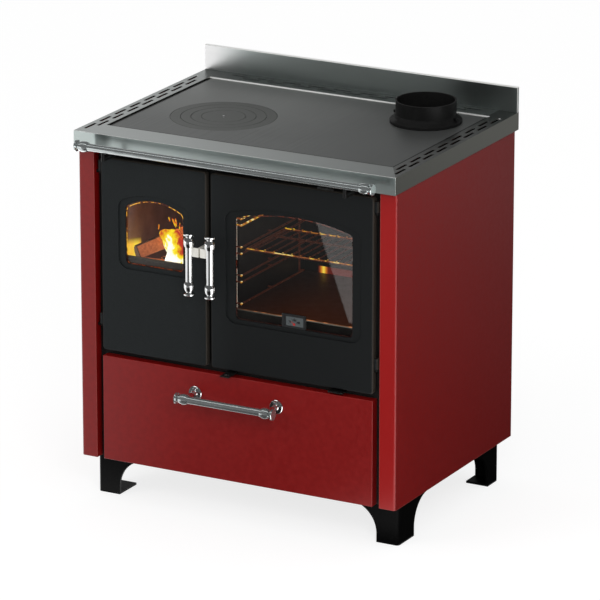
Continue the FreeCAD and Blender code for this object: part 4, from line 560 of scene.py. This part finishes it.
finishOf = {
    makeEnamel: ["left_side_panel", "right_side_panel", "drawer_front"],
    makeDoorIron: ["fire_door_casting", "oven_door_casting"],
    makeStainless: ["worktop_frame", "backsplash"],
    makeHobIron: ["cooktop_plate"],
    makeRingIron: ["hob_ring_outer", "hob_ring_middle", "hob_ring_inner", "hob_lid"],
    makeOvenSteel: ["oven_box"],
    makeWireSteel: ["oven_guides", "oven_rack"],
    makeFirebrick: ["firebrick_base", "firebrick_sides", "firebrick_rear"],
    makeGlass: ["fire_door_glass", "oven_door_glass"],
}
plainFinishOf = [  # a finish without marks or tones of its own, and its nodes
    ({"name": "polishedChrome", "colours": ((0.84, 0.85, 0.85), (0.90, 0.91, 0.91)), "scale": 30,
      "rough": (0.05, 0.08), "bumps": (300, 0.000002), "Metallic": 1.0},
     ["fire_door_handle_bar", "oven_door_handle_bar", "drawer_handle_posts"]),
    ({"name": "railChrome", "colours": ((0.52, 0.56, 0.56), (0.60, 0.64, 0.64)), "scale": 30,
      "rough": (0.06, 0.09), "bumps": (300, 0.000002), "Metallic": 0.86},
     ["handrail_bar", "drawer_handle_bar"]),
    ({"name": "satinNickel", "colours": ((0.86, 0.84, 0.77), (0.95, 0.93, 0.87)), "scale": 60,
      "rough": (0.35, 0.5), "bumps": (900, 0.00001), "edge": 0.0005, "Metallic": 0.15},
     ["fire_door_handle", "oven_door_handle"]),
    ({"name": "zincSteel", "colours": ((0.33, 0.33, 0.32), (0.45, 0.45, 0.44)), "scale": 160,
      "rough": (0.3, 0.42), "bumps": (900, 0.00003), "edge": 0.0005, "Metallic": 1.0},
     ["foot_bolts", "panel_screws", "fire_door_glass_frame", "oven_door_glass_frame", "ash_pan"]),
    ({"name": "dullSteel", "colours": ((0.025, 0.025, 0.024), (0.06, 0.06, 0.058)), "scale": 200,
      "rough": (0.4, 0.55), "bumps": (900, 0.00004), "edge": 0.0005, "Metallic": 0.8},
     ["damper_lever", "air_lever", "soot_slide"]),
    ({"name": "blackSheet", "colours": ((0.008, 0.008, 0.0078), (0.017, 0.017, 0.0165)), "scale": 300,
      "rough": (0.5, 0.62), "bumps": (1200, 0.00005), "edge": 0.0006, "Specular_IOR_Level": 0.25},
     ["rear_panel", "base_plate", "front_frame", "heat_shields", "drawer_box", "drawer_runners", "slide_guides",
      "body_shell", "flue_divider", "firebox_divider"]),
    ({"name": "blackIron", "colours": ((0.0060, 0.0060, 0.0060), (0.0105, 0.0105, 0.0103)), "scale": 260,
      "rough": (0.38, 0.5), "bumps": (650, 0.0001), "edge": 0.0014, "Specular_IOR_Level": 0.18},
     ["flue_collar", "grate_shelf", "fire_grate", "hinge_brackets", "handrail_posts", "flue_collar_bolts"]),
    ({"name": "guardIron", "colours": ((0.060, 0.052, 0.046), (0.085, 0.074, 0.066)), "scale": 160,
      "rough": (0.6, 0.7), "bumps": (650, 0.0001), "edge": 0.0008},
     ["log_guard"]),
    ({"name": "footIron", "colours": ((0.0018, 0.0018, 0.0019), (0.0042, 0.0042, 0.0042)), "scale": 260,
      "rough": (0.4, 0.5), "bumps": (650, 0.0001), "edge": 0.0014, "Specular_IOR_Level": 0.06},
     ["foot_front_left", "foot_front_right", "foot_rear_left", "foot_rear_right"]),
    ({"name": "gaugeCase", "colours": ((0.010, 0.011, 0.012), (0.018, 0.019, 0.020)), "scale": 500,
      "rough": (0.4, 0.5), "bumps": (900, 0.00004), "edge": 0.0005},
     ["oven_thermometer"]),
    ({"name": "ropeFibre", "colours": ((0.05, 0.049, 0.047), (0.16, 0.155, 0.145)), "scale": 900,
      "rough": (0.85, 0.95), "bumps": (1600, 0.0002)},
     ["cooktop_rope_seal", "fire_door_rope_seal", "oven_door_rope_seal"]),
]


def dressNodes():
    pairs = [(make(), names) for make, names in finishOf.items()]
    pairs += [(surface(**spec)[0], names) for spec, names in plainFinishOf]
    for material, names in pairs:
        finishes[material.name] = material
        for name in names:
            slots = nodes[name].material_slots
            if not slots:
                nodes[name].data.materials.append(material)
            for slot in slots:
                slot.material = material
    dressed = [name for _, names in pairs for name in names]
    print("dressed", len(dressed), "nodes, bare:", [name for name in nodes if name not in dressed])


# Modelling
def begin(kind, **where):
    bpy.ops.object.select_all(action="DESELECT")
    getattr(bpy.ops.mesh, "primitive_" + kind + "_add")(**where)
    return bpy.context.object


@contextmanager
def editing():
    bpy.ops.object.mode_set(mode="EDIT")
    yield
    bpy.ops.object.mode_set(mode="OBJECT")


def pick(piece, kind, test):  # selects faces, edges or points by their place or normal
    bpy.ops.mesh.select_mode(type={"faces": "FACE", "edges": "EDGE", "verts": "VERT"}[kind])
    bpy.ops.mesh.select_all(action="DESELECT")
    mesh = bmesh.from_edit_mesh(piece.data)
    for part in getattr(mesh, kind):
        if test(part):
            part.select_set(True)
    mesh.select_flush_mode()
    bmesh.update_edit_mesh(piece.data)


def turnOutward():
    bpy.ops.mesh.select_all(action="SELECT")
    bpy.ops.mesh.normals_make_consistent(inside=False)


def stretch(piece, *scale):
    piece.scale = scale
    bpy.ops.object.transform_apply(location=False, rotation=False, scale=True)


def joined(pieces):
    for piece in pieces:
        piece.select_set(True)
    bpy.ops.object.join()
    return bpy.context.object


def only(piece):
    bpy.ops.object.select_all(action="DESELECT")
    piece.select_set(True)
    bpy.context.view_layer.objects.active = piece


def fixPlace(piece):
    only(piece)
    for modifier in list(piece.modifiers):
        bpy.ops.object.modifier_apply(modifier=modifier.name)
    bpy.ops.object.transform_apply(location=True, rotation=True, scale=True)


def settle(piece, name, body, *materials):
    fixPlace(piece)
    piece.name = piece.data.name = name
    for material in materials:
        piece.data.materials.append(material)
    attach(piece, body)
    bpy.ops.object.select_all(action="DESELECT")


# Split logs on the base of the firebox
log = {
    "seed": 7, "lengthCuts": 9, "splitAt": 0.18, "roughness": 0.0016, "sharp": 0.6, "softened": 0.0022,
    "pieces": [
        {"name": "splitLogFront", "start": (-0.2725, deep(0.0660), 0.568), "end": (-0.1485, deep(0.2260), 0.628),
         "radius": 0.028, "roll": 0, "splits": (2.95, 4.35)},
        {"name": "splitLogNear", "start": (-0.288, deep(0.090), 0.552), "end": (-0.180, deep(0.112), 0.552),
         "radius": 0.032, "roll": 18, "splits": (0.30, 2.2)},
        {"name": "splitLogUnder", "start": (-0.262, deep(0.205), 0.5515), "end": (-0.112, deep(0.190), 0.5515),
         "radius": 0.0315, "roll": 18, "splits": (0.30, 2.2)},
        {"name": "splitLogCross", "start": (-0.236, deep(0.190), 0.5887), "end": (-0.114, deep(0.203), 0.5887),
         "radius": 0.0295, "roll": 18, "splits": (0.30, 2.2)},
        {"name": "splitLogRear", "start": (-0.270, deep(0.40), 0.552), "end": (-0.128, deep(0.43), 0.552),
         "radius": 0.033, "roll": 75, "splits": (0.30, 2.2)},
        {"name": "splitLogTop", "start": (-0.245, deep(0.390), 0.5825), "end": (-0.145, deep(0.425), 0.5825),
         "radius": 0.024, "roll": 18, "splits": (0.30, 2.2)},
    ],
}


def makeBark():
    return surface("bark", ((0.055, 0.022, 0.012), (0.20, 0.085, 0.045)), 70, (0.8, 0.95), (140, 0.0025))[0]


def makeSplitWood():  # lit by the flames: orange along its grain
    material, tree, shader = newFinish("splitWood", Roughness=0.85)
    fibres = grain(tree, 1, 4, (160, 160, 160))
    tree.links.new(ramp(tree, fibres, (0.3, (0.30, 0.10, 0.045)), (0.7, (0.52, 0.21, 0.09))),
                   shader.inputs["Base Color"])
    upward = normalParts(tree)["Z"]
    shine(tree, shader, (1, 0.19, 0.035),
          allOf(tree, level(tree, upward, 0.05, 0.40, 0.0, 0.35), level(tree, fibres, 0.7, 1)))
    relief(tree, shader, fibres, 0.0008)
    return material


def makeSawnEnd():
    # painted light: the sawn ends give off a faint pink glow
    return surface("sawnEnd", ((0.060, 0.042, 0.042), (0.105, 0.076, 0.074)), 220, (0.85, 0.95), (320, 0.0008),
                   Emission_Strength=0.07, Emission_Color=(1, 0.60, 0.58, 1))[0]


def addLogs():
    materials = [makeBark(), makeSplitWood(), makeSawnEnd()]
    for order, spec in enumerate(log["pieces"]):
        start, end = Vector(spec["start"]), Vector(spec["end"])
        span, radius = end - start, spec["radius"]
        splits = [(math.cos(side), math.sin(side), 0) for side in spec["splits"]]
        piece = begin("cylinder", vertices=14, radius=radius, depth=span.length, end_fill_type="NGON")
        with editing():
            for normal in splits:  # two splits leave a wedge of the round
                bpy.ops.mesh.select_all(action="SELECT")
                bpy.ops.mesh.bisect(plane_co=[log["splitAt"] * radius * part for part in normal], plane_no=normal,
                                    use_fill=True, clear_outer=True)
            for cut in range(1, log["lengthCuts"] + 1):
                bpy.ops.mesh.select_all(action="SELECT")
                height = (cut / (log["lengthCuts"] + 1) - 0.5) * span.length
                bpy.ops.mesh.bisect(plane_co=(0, 0, height), plane_no=(0, 0, 1))
            pick(piece, "verts", lambda point: abs(point.co.z) < span.length / 2 - 0.001)
            bpy.ops.transform.vertex_random(offset=log["roughness"], seed=log["seed"] + order)
            pick(piece, "edges", lambda edge: edge.calc_face_angle(0) > log["sharp"])
            bpy.ops.mesh.bevel(offset=log["softened"], segments=2)
        for face in piece.data.polygons:
            turned = face.normal
            sawn = math.hypot(turned.x, turned.y) < 0.5
            split = any(turned.x * x + turned.y * y > 0.93 for x, y, _ in splits)
            face.material_index = 2 if sawn else 1 if split else 0
        roll = Matrix.Rotation(math.radians(spec["roll"]), 3, "Z").to_quaternion()
        piece.rotation_mode = "QUATERNION"
        piece.rotation_quaternion = span.to_track_quat("Z", "Y") @ roll
        piece.location = (start + end) / 2
        settle(piece, spec["name"], "stove", *materials)
    print("logs:", len(log["pieces"]))


# Ash bed with embers, over the base bricks
ash = {"x": (-0.3045, -0.0965), "y": (deep(0.0475), deep(0.4955)), "low": 0.5152, "rise": 0.006, "uneven": 0.0026,
       "embers": 34, "seed": 11, "emberSize": (0.005, 0.010), "emberReach": 0.26}


def makeAsh():
    material, tree, shader = surface("ashBed", ((0.030, 0.024, 0.022), (0.16, 0.14, 0.13)), 60, (0.9, 0.98),
                                     (220, 0.0016))
    cracks = wire(tree, "TexVoronoi", {"Vector": wire(tree, "TexCoord").outputs["Object"], "Scale": 70},
                  feature="DISTANCE_TO_EDGE").outputs["Distance"]
    shine(tree, shader, (1, 0.22, 0.03), allOf(tree, level(tree, cracks, 1, 0, 0.01, 0.09),
                                               level(tree, grain(tree, 18, 2), 0, 1, 0.48, 0.62), 1.3))
    return material


def makeEmber():
    material, tree, shader = surface("ember", ((0.012, 0.009, 0.008), (0.05, 0.035, 0.03)), 160, (0.85, 0.95),
                                     (420, 0.001))
    shine(tree, shader, (1, 0.2, 0.025), level(tree, grain(tree, 130, 3), 0, 2.2, 0.46, 0.68))
    return material


def addAshBed():
    (x0, x1), (y0, y1) = ash["x"], ash["y"]
    top = ash["low"] + ash["rise"]
    bed = begin("grid", x_subdivisions=36, y_subdivisions=72, size=1, location=((x0 + x1) / 2, (y0 + y1) / 2, top))
    stretch(bed, x1 - x0, y1 - y0, 1)
    with editing():
        pick(bed, "verts", lambda point: not point.is_boundary)
        bpy.ops.transform.vertex_random(offset=ash["uneven"], seed=ash["seed"])
        bpy.ops.mesh.vertices_smooth(factor=0.4, repeat=1)
        bpy.ops.mesh.select_all(action="SELECT")
        bpy.ops.mesh.extrude_region_move(TRANSFORM_OT_translate={"value": (0, 0, -ash["rise"])})
        bpy.ops.transform.resize(value=(1, 1, 0), center_override=(0, 0, ash["low"]))
        turnOutward()
    settle(bed, "ashBed", "stove", makeAsh())
    chance = random.Random(ash["seed"])
    lumps = []
    for number in range(ash["embers"]):
        size = chance.uniform(*ash["emberSize"])
        place = (chance.uniform(x0 + 0.02, x1 - 0.02), chance.uniform(y0 + 0.02, y0 + ash["emberReach"]),
                 top + 0.25 * size)
        lump = begin("ico_sphere", subdivisions=2, radius=size, location=place)
        lump.scale = (1, chance.uniform(0.6, 1), chance.uniform(0.5, 0.8))
        lump.rotation_euler = (0, 0, chance.uniform(0, 3))
        with editing():
            bpy.ops.transform.vertex_random(offset=size * 0.22, seed=number)
        lumps.append(lump)
    settle(joined(lumps), "embers", "stove", makeEmber())
    print("ash bed and", len(lumps), "embers")


# Flames, each a tongue drawn out ring by ring
flame = {
    "depth": deep(0.079), "apart": 0.004, "ringSides": 12, "thin": 0.40, "broad": ("flameTop", "flameCrest"),
    "tall": [(0.0, 0.85), (0.15, 1.0), (0.32, 0.95), (0.5, 0.74), (0.68, 0.5), (0.84, 0.28), (0.95, 0.12)],
    "full": [(0.0, 0.30), (0.14, 0.62), (0.3, 0.92), (0.48, 1.0), (0.66, 0.97), (0.82, 0.78), (0.94, 0.42)],
    "tongues": [  # foot x, foot z, height, radius, lean
        {"name": "flameFoot", "foot": (-0.194, 0.524), "height": 0.112, "radius": 0.030, "lean": (-0.004, 0.006)},
        {"name": "flameLeft", "foot": (-0.208, 0.524), "height": 0.078, "radius": 0.017, "lean": (0.004, 0.002)},
        {"name": "flameTop", "foot": (-0.192, 0.566), "height": 0.076, "radius": 0.029, "lean": (-0.004, 0.004)},
        {"name": "flameCrest", "foot": (-0.203, 0.606), "height": 0.034, "radius": 0.020, "lean": (-0.005, 0.004)},
        {"name": "flameRight", "foot": (-0.160, 0.524), "height": 0.108, "radius": 0.026, "lean": (0.006, -0.002)},
        {"name": "flameEdge", "foot": (-0.132, 0.524), "height": 0.086, "radius": 0.020, "lean": (0.004, 0.004)},
    ],
    "wisps": [
        {"name": "flameWispOne", "foot": (-0.2305, 0.634), "height": 0.014, "radius": 0.0016, "lean": (0.001, 0)},
        {"name": "flameWispTwo", "foot": (-0.2035, 0.655), "height": 0.012, "radius": 0.0019, "lean": (-0.003, 0)},
        {"name": "flameWispThree", "foot": (-0.191, 0.643), "height": 0.022, "radius": 0.0025, "lean": (-0.009, 0)},
        {"name": "flameWispFour", "foot": (-0.184, 0.648), "height": 0.020, "radius": 0.0022, "lean": (-0.003, 0)},
        {"name": "flameWispFive", "foot": (-0.179, 0.640), "height": 0.018, "radius": 0.0014, "lean": (0.001, 0)},
    ],
}


def fireGlow(tree, height, strength, fade):  # height 0 is white, 1 dark red
    colour = ramp(tree, height, (0.0, (1, 1, 0.94)), (0.34, (1, 0.97, 0.70)), (0.42, (1, 0.84, 0.02)),
                  (0.66, (1, 0.70, 0.01)), (0.80, (1, 0.30, 0.01)), (0.95, (0.62, 0.04, 0.02)))
    glow = wire(tree, "Emission", {"Color": colour, "Strength": strength})
    clear = wire(tree, "BsdfTransparent")
    both = wire(tree, "MixShader", {0: fade, 1: clear.outputs[0], 2: glow.outputs[0]})
    wire(tree, "OutputMaterial", {"Surface": both.outputs[0]})


def makeFlame():  # white at the foot and up its core, yellow over it, orange and red to the right and on top
    material, tree = bareFinish("flame")
    place = placeParts(tree)
    licks = allOf(tree, maths(tree, "SUBTRACT", grain(tree, 75, 4, (1.2, 1.2, 0.8)), 0.5), 1.3)
    rise = level(tree, place["Z"], 0, 0.62, 0.572, 0.642)
    core = allOf(tree, level(tree, apart(tree, place["X"], -0.1985), 0, 0.20, 0.003, 0.012),
                 level(tree, place["Z"], 0, 1, 0.572, 0.590))
    right = allOf(tree, level(tree, place["X"], 0, 0.50, -0.196, -0.170),
                  level(tree, place["Z"], 0.35, 1, 0.545, 0.60))
    height = chain(tree, "ADD", rise, core, right, licks)
    top = maths(tree, "ADD", level(tree, place["Z"], 0, 1, 0.60, 0.645), licks)
    fireGlow(tree, height, level(tree, height, 1.7, 0.9, 0, 0.8), level(tree, top, 1, 0, 0.92, 1.15))
    return material


def makeWisp():
    material, tree = bareFinish("flameLoose")
    fireGlow(tree, level(tree, grain(tree, 150, 2), 0.62, 0.95, 0.35, 0.65), 1.0, 0.85)
    return material


def addTongue(spec, number, profile, material):
    (x, z), radius, (leanX, leanY) = spec["foot"], spec["radius"], spec["lean"]
    piece = begin("circle", vertices=flame["ringSides"], radius=radius * profile[0][1], fill_type="NGON",
                  location=(x, flame["depth"] + flame["apart"] * (number % 3), z))
    with editing():
        for (low, wide), (high, wideNext) in zip(profile, profile[1:]):
            rise = high - low
            sway = 0.1 * radius * math.sin(5 * high + number)
            move = (leanX * rise + sway, leanY * rise, spec["height"] * rise)
            bpy.ops.mesh.extrude_region_move(TRANSFORM_OT_translate={"value": move})
            bpy.ops.transform.resize(value=(wideNext / wide,) * 3)
        turnOutward()
    piece.scale = (1, flame["thin"], 1)
    soft = piece.modifiers.new("soft", "SUBSURF")
    soft.levels = soft.render_levels = 2
    bpy.ops.object.shade_smooth()
    settle(piece, spec["name"], "stove", material)
    piece.visible_shadow = False


def addFlames():
    material, loose = makeFlame(), makeWisp()
    for number, spec in enumerate(flame["tongues"]):
        addTongue(spec, number, flame["full" if spec["name"] in flame["broad"] else "tall"], material)
    for number, spec in enumerate(flame["wisps"]):
        addTongue(spec, number, flame["full"], loose)
    print("flames:", len(flame["tongues"]), "wisps:", len(flame["wisps"]))


# Cord round the inside of each door's glass, with painted firelight glowing on it
cords = [
    {"name": "fireGlassCord", "body": "fire_door", "x": (-0.2795, -0.133), "z": (0.565, 0.697), "rise": 0.022,
     "shine": 1.25},
    {"name": "ovenGlassCord", "body": "oven_door", "x": (-0.002, 0.288), "z": (0.478, 0.711), "rise": 0.0215,
     "shine": 0.20},
]
cordShape = {"behind": 0.0271, "radius": 0.0009, "left": -0.0019, "right": -0.0040, "top": -0.0056, "low": -0.0006,
             "corner": 0.010, "steps": 24}


def makeCord(spec):
    material, tree, shader = surface(spec["name"], ((0.02, 0.012, 0.010), (0.05, 0.03, 0.02)), 400, (0.7, 0.8),
                                     (900, 0.0001))
    # painted light: firelight on the cord in dashes, stronger higher up
    dashes = level(tree, grain(tree, 130, 2), 0.08, 1, 0.45, 0.58)
    upper = level(tree, placeParts(tree)["Z"], 0.25, 1, spec["z"][0], spec["z"][0] + 0.04)
    glow = allOf(tree, dashes, upper, spec["shine"])
    colour = ramp(tree, glow, (0.0, (0.6, 0.04, 0.03)), (0.3, (1, 0.16, 0.03)), (0.8, (1, 0.52, 0.05)))
    shine(tree, shader, colour, glow)
    return material


def addCord(spec):
    x0, x1 = spec["x"][0] + cordShape["left"], spec["x"][1] + cordShape["right"]
    z0, z1 = spec["z"][0] + cordShape["low"], spec["z"][1] + cordShape["top"]
    points = [(x0, z0), (x0, z1)]
    half, middle = (x1 - x0) / 2, (x0 + x1) / 2
    bend = (half ** 2 + spec["rise"] ** 2) / (2 * spec["rise"])
    for step in range(1, cordShape["steps"]):
        across = half * (2 * step / cordShape["steps"] - 1)
        points.append((middle + across, z1 + spec["rise"] - bend + math.sqrt(bend ** 2 - across ** 2)))
    points += [(x1, z1), (x1, z0)]
    mesh = bpy.data.meshes.new(spec["name"])
    mesh.from_pydata([(x, deep(cordShape["behind"]), z) for x, z in points],
                     [(number, (number + 1) % len(points)) for number in range(len(points))], [])
    cord = bpy.data.objects.new(spec["name"], mesh)
    bpy.context.scene.collection.objects.link(cord)
    only(cord)
    with editing():
        pick(cord, "verts", lambda point: min(abs(point.co.x - x0), abs(point.co.x - x1)) < 1e-5)
        bpy.ops.mesh.bevel(offset=cordShape["corner"], segments=6, affect="VERTICES")
    bpy.ops.object.convert(target="CURVE")
    cord = bpy.context.object
    cord.data.bevel_depth, cord.data.bevel_resolution = cordShape["radius"], 2
    bpy.ops.object.convert(target="MESH")
    settle(bpy.context.object, spec["name"], spec["body"], makeCord(spec))
    print(spec["name"], len(points), "points")


# Lamps standing for the light of the fire and in the oven
glowLamps = [
    {"name": "fireLight", "place": (-0.190, deep(0.090), 0.640), "power": 0.22, "size": 0.02,
     "colour": (1, 0.42, 0.13)},
    {"name": "ovenLight", "place": (0.030, deep(0.075), 0.728), "power": 0.06, "size": 0.012,
     "colour": (1, 0.5, 0.2)},
]


def addGlowLamps():
    for spec in glowLamps:
        data = bpy.data.lights.new(spec["name"], "POINT")
        data.energy, data.shadow_soft_size, data.color = spec["power"], spec["size"], spec["colour"]
        lamp = bpy.data.objects.new(spec["name"], data)
        lamp.location = spec["place"]
        lamp.visible_camera = lamp.visible_glossy = lamp.visible_transmission = False
        bpy.context.scene.collection.objects.link(lamp)


# Dial in the thermometer's case on the oven door
dial = {
    "inset": 0.0049, "left": 0.0055, "sunk": 0.0010, "thick": 0.0006, "corner": 0.0014, "rim": 0.0006,
    "rimDepth": 0.00012, "hub": (-0.0015, -0.0062), "radius": 0.0150, "raised": 0.0001,
    "ticks": 9, "firstTick": 205, "sweep": 230, "longTick": 0.0026, "shortTick": 0.0018,
    "numbers": {"0": 150, "150": 90, "300": 30}, "numberSize": 0.0060, "numberInset": 0.0035,
    "pointer": 142, "pointerLong": 0.72, "pointerWide": 0.0014, "boss": 0.0028,
}
stoodUp = (math.radians(90), 0, 0)  # turned up from lying flat


def plainFinish(name, first, second, rough, **sockets):
    return surface(name, (first, second), 700, (rough, rough + 0.1), (1200, 0.00001), 0, **sockets)[0]


def addDial():
    low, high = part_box("oven_thermometer")
    wide, tall = (high[axis] - low[axis] - 2 * dial["inset"] for axis in (0, 2))
    wide -= dial["left"]
    middle = ((low[0] + high[0] + dial["left"]) / 2, (low[2] + high[2]) / 2)
    back = low[1] + dial["sunk"]
    facePlate = begin("cube", size=1, location=(middle[0], back - dial["thick"] / 2, middle[1]))
    stretch(facePlate, wide, dial["thick"], tall)
    with editing():
        pick(facePlate, "edges", lambda edge: abs(edge.verts[0].co.y - edge.verts[1].co.y) > 1e-5)
        bpy.ops.mesh.bevel(offset=dial["corner"], segments=3)
        pick(facePlate, "faces", lambda face: face.normal.y < -0.9)
        bpy.ops.mesh.inset(thickness=dial["rim"], depth=-dial["rimDepth"])
    settle(facePlate, "dialPlate", "oven_door",
           plainFinish("dialGrey", (0.085, 0.098, 0.102), (0.115, 0.130, 0.135), 0.35, Metallic=0.2))
    front = back - dial["thick"] + dial["rimDepth"] / 2

    def around(angle, reach, flat=1.0, ahead=dial["raised"]):  # a place on the dial, from its hub
        return (middle[0] + dial["hub"][0] + reach * math.cos(angle), front - ahead,
                middle[1] + dial["hub"][1] + reach * math.sin(angle) * flat)

    marks = []
    for number in range(dial["ticks"]):
        angle = math.radians(dial["firstTick"] - dial["sweep"] * number / (dial["ticks"] - 1))
        long = number % 2 == 0
        place = around(angle, dial["radius"] - (0 if long else 0.0005), 0.9)
        if abs(place[0] - middle[0]) > wide / 2 - 0.001 or abs(place[2] - middle[1]) > tall / 2 - 0.001:
            continue
        mark = begin("cube", size=1, location=place, rotation=(0, -angle, 0))
        mark.scale = (dial["longTick" if long else "shortTick"], 0.0003, 0.0010)
        marks.append(mark)
    for text, angle in dial["numbers"].items():
        bpy.ops.object.select_all(action="DESELECT")
        place = around(math.radians(angle), dial["radius"] - dial["numberInset"], 0.8)
        bpy.ops.object.text_add(location=place, rotation=stoodUp)
        words = bpy.context.object
        words.data.body, words.data.size, words.data.extrude = text, dial["numberSize"], dial["raised"]
        words.data.offset = 0.0003
        words.data.align_x, words.data.align_y = "CENTER", "CENTER"
        bpy.ops.object.convert(target="MESH")
        marks.append(bpy.context.object)
    settle(joined(marks), "dialMarks", "oven_door",
           plainFinish("dialBlack", (0.008, 0.008, 0.008), (0.014, 0.014, 0.014), 0.5))
    angle = math.radians(dial["pointer"])
    length = dial["radius"] * dial["pointerLong"]
    needle = begin("cube", size=1, location=around(angle, 0.4 * length, ahead=0.0004), rotation=(0, -angle, 0))
    stretch(needle, length, 0.0002, dial["pointerWide"])
    with editing():
        pick(needle, "faces", lambda face: face.normal.x > 0.9)
        bpy.ops.transform.resize(value=(1, 1, 0.2))
    boss = begin("cylinder", vertices=24, radius=dial["boss"], depth=0.0008, location=around(0, 0, ahead=0.0003),
                 rotation=stoodUp)
    with editing():
        pick(boss, "faces", lambda face: face.normal.z > 0.9)
        bpy.ops.mesh.inset(thickness=0.0008, depth=0.0002)
    settle(joined([needle, boss]), "dialPointer", "oven_door",
           plainFinish("dialRed", (0.42, 0.012, 0.010), (0.52, 0.020, 0.015), 0.4))
    print("dial on the thermometer")


# Pin in the lid's lifting hole
lidPin = {"radius": 0.0032, "tall": 0.0032, "sunk": 0.0008, "rounding": 0.0011}


def addLidPin():
    low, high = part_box("hob_lid")
    pin = begin("cylinder", vertices=24, radius=lidPin["radius"], depth=lidPin["tall"],
                location=((low[0] + high[0]) / 2, (low[1] + high[1]) / 2, high[2] - lidPin["sunk"]))
    with editing():
        pick(pin, "edges", lambda edge: all(point.co.z > 0.001 for point in edge.verts))
        bpy.ops.mesh.bevel(offset=lidPin["rounding"], segments=4)
    bpy.ops.object.shade_smooth_by_angle(angle=0.6)
    settle(pin, "lidPin", "lid", finishes["polishedChrome"])


# Rope seals: three strands twisted, laid along their route
ropes = [
    {"name": "fireDoorRope", "node": "fire_door_rope_seal", "body": "fire_door", "upright": True,
     "radius": 0.0030, "corner": 0.008, "pitch": 0.012},
    {"name": "ovenDoorRope", "node": "oven_door_rope_seal", "body": "oven_door", "upright": True,
     "radius": 0.0030, "corner": 0.008, "pitch": 0.012},
    {"name": "cooktopRope", "node": "cooktop_rope_seal", "body": "stove", "upright": False,
     "radius": 0.0040, "corner": 0.004, "pitch": 0.016},
]
strandSpacing = 1.155  # from the rope's middle to three strands that touch, in strand radii


def makeStrand():
    material, tree, shader = newFinish("ropeStrand", Roughness=0.92)
    fibre = grain(tree, 900, 3)
    tree.links.new(ramp(tree, fibre, (0.3, (0.045, 0.043, 0.040)), (0.7, (0.13, 0.125, 0.115))),
                   shader.inputs["Base Color"])
    relief(tree, shader, grain(tree, 1600, 2), 0.0003)
    return material


def ropeRoute(spec, low, high):  # a rounded frame in the middle of the seal it stands for
    wide, ahead, tall = (b - a - 2 * spec["radius"] for a, b in zip(low, high))
    route = begin("plane", size=1, location=[sum(pair) / 2 for pair in zip(low, high)],
                  rotation=stoodUp if spec["upright"] else (0, 0, 0))
    route.scale = (wide, tall if spec["upright"] else ahead, 1)
    fixPlace(route)
    with editing():
        bpy.ops.mesh.select_all(action="SELECT")
        bpy.ops.mesh.bevel(offset=spec["corner"], segments=6, affect="VERTICES")
        bpy.ops.mesh.delete(type="ONLY_FACE")
    points = [point.co for point in route.data.vertices]
    reach = sum((points[edge.vertices[0]] - points[edge.vertices[1]]).length for edge in route.data.edges)
    bpy.ops.object.convert(target="CURVE")
    route = bpy.context.object
    route.data.dimensions = "3D"
    route.data.twist_mode = "Z_UP"
    return route, reach


def addRope(spec, material):
    low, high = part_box(spec["node"])
    route, reach = ropeRoute(spec, low, high)
    count = round(reach / spec["pitch"])
    pitch = reach / count
    strand = spec["radius"] / (1 + strandSpacing)
    offset = strand * strandSpacing
    circles = []
    for turn in range(3):
        angle = 2 * math.pi * turn / 3
        circles.append(begin("circle", vertices=8, radius=strand, rotation=(0, math.radians(90), 0),
                             location=(0, offset * math.cos(angle), offset * math.sin(angle))))
    piece = joined(circles)
    fixPlace(piece)
    twist = piece.modifiers.new("twist", "SCREW")
    twist.axis, twist.screw_offset, twist.angle = "X", pitch, 2 * math.pi
    twist.steps = twist.render_steps = 10
    twist.use_merge_vertices = False
    lay = piece.modifiers.new("lay", "ARRAY")
    lay.count, lay.use_relative_offset, lay.use_constant_offset = count, False, True
    lay.constant_offset_displace = (pitch, 0, 0)
    lay.use_merge_vertices, lay.merge_threshold = True, 0.0002
    fixPlace(piece)
    if not spec["upright"]:
        stretch(piece, 1, 1, (high[2] - low[2]) / (2 * spec["radius"]))
    follow = piece.modifiers.new("follow", "CURVE")
    follow.object = route
    follow.deform_axis = "POS_X"
    fixPlace(piece)
    with editing():
        bpy.ops.mesh.select_all(action="SELECT")
        bpy.ops.mesh.remove_doubles(threshold=0.0001)
        turnOutward()
    bpy.ops.object.shade_smooth()
    settle(piece, spec["name"], spec["body"], material)
    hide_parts(spec["node"])
    bpy.data.objects.remove(route)
    print(spec["name"], count, "turns,", len(piece.data.polygons), "faces")


addCamera()
addStudio()
print("camera and studio are set")
dressNodes()
addLogs()
addAshBed()
addFlames()
addGlowLamps()
for spec in cords:
    addCord(spec)
addDial()
addLidPin()
strandFinish = makeStrand()
for spec in ropes:
    addRope(spec, strandFinish)

view = bpy.context.scene.view_settings
view.view_transform = "Standard"
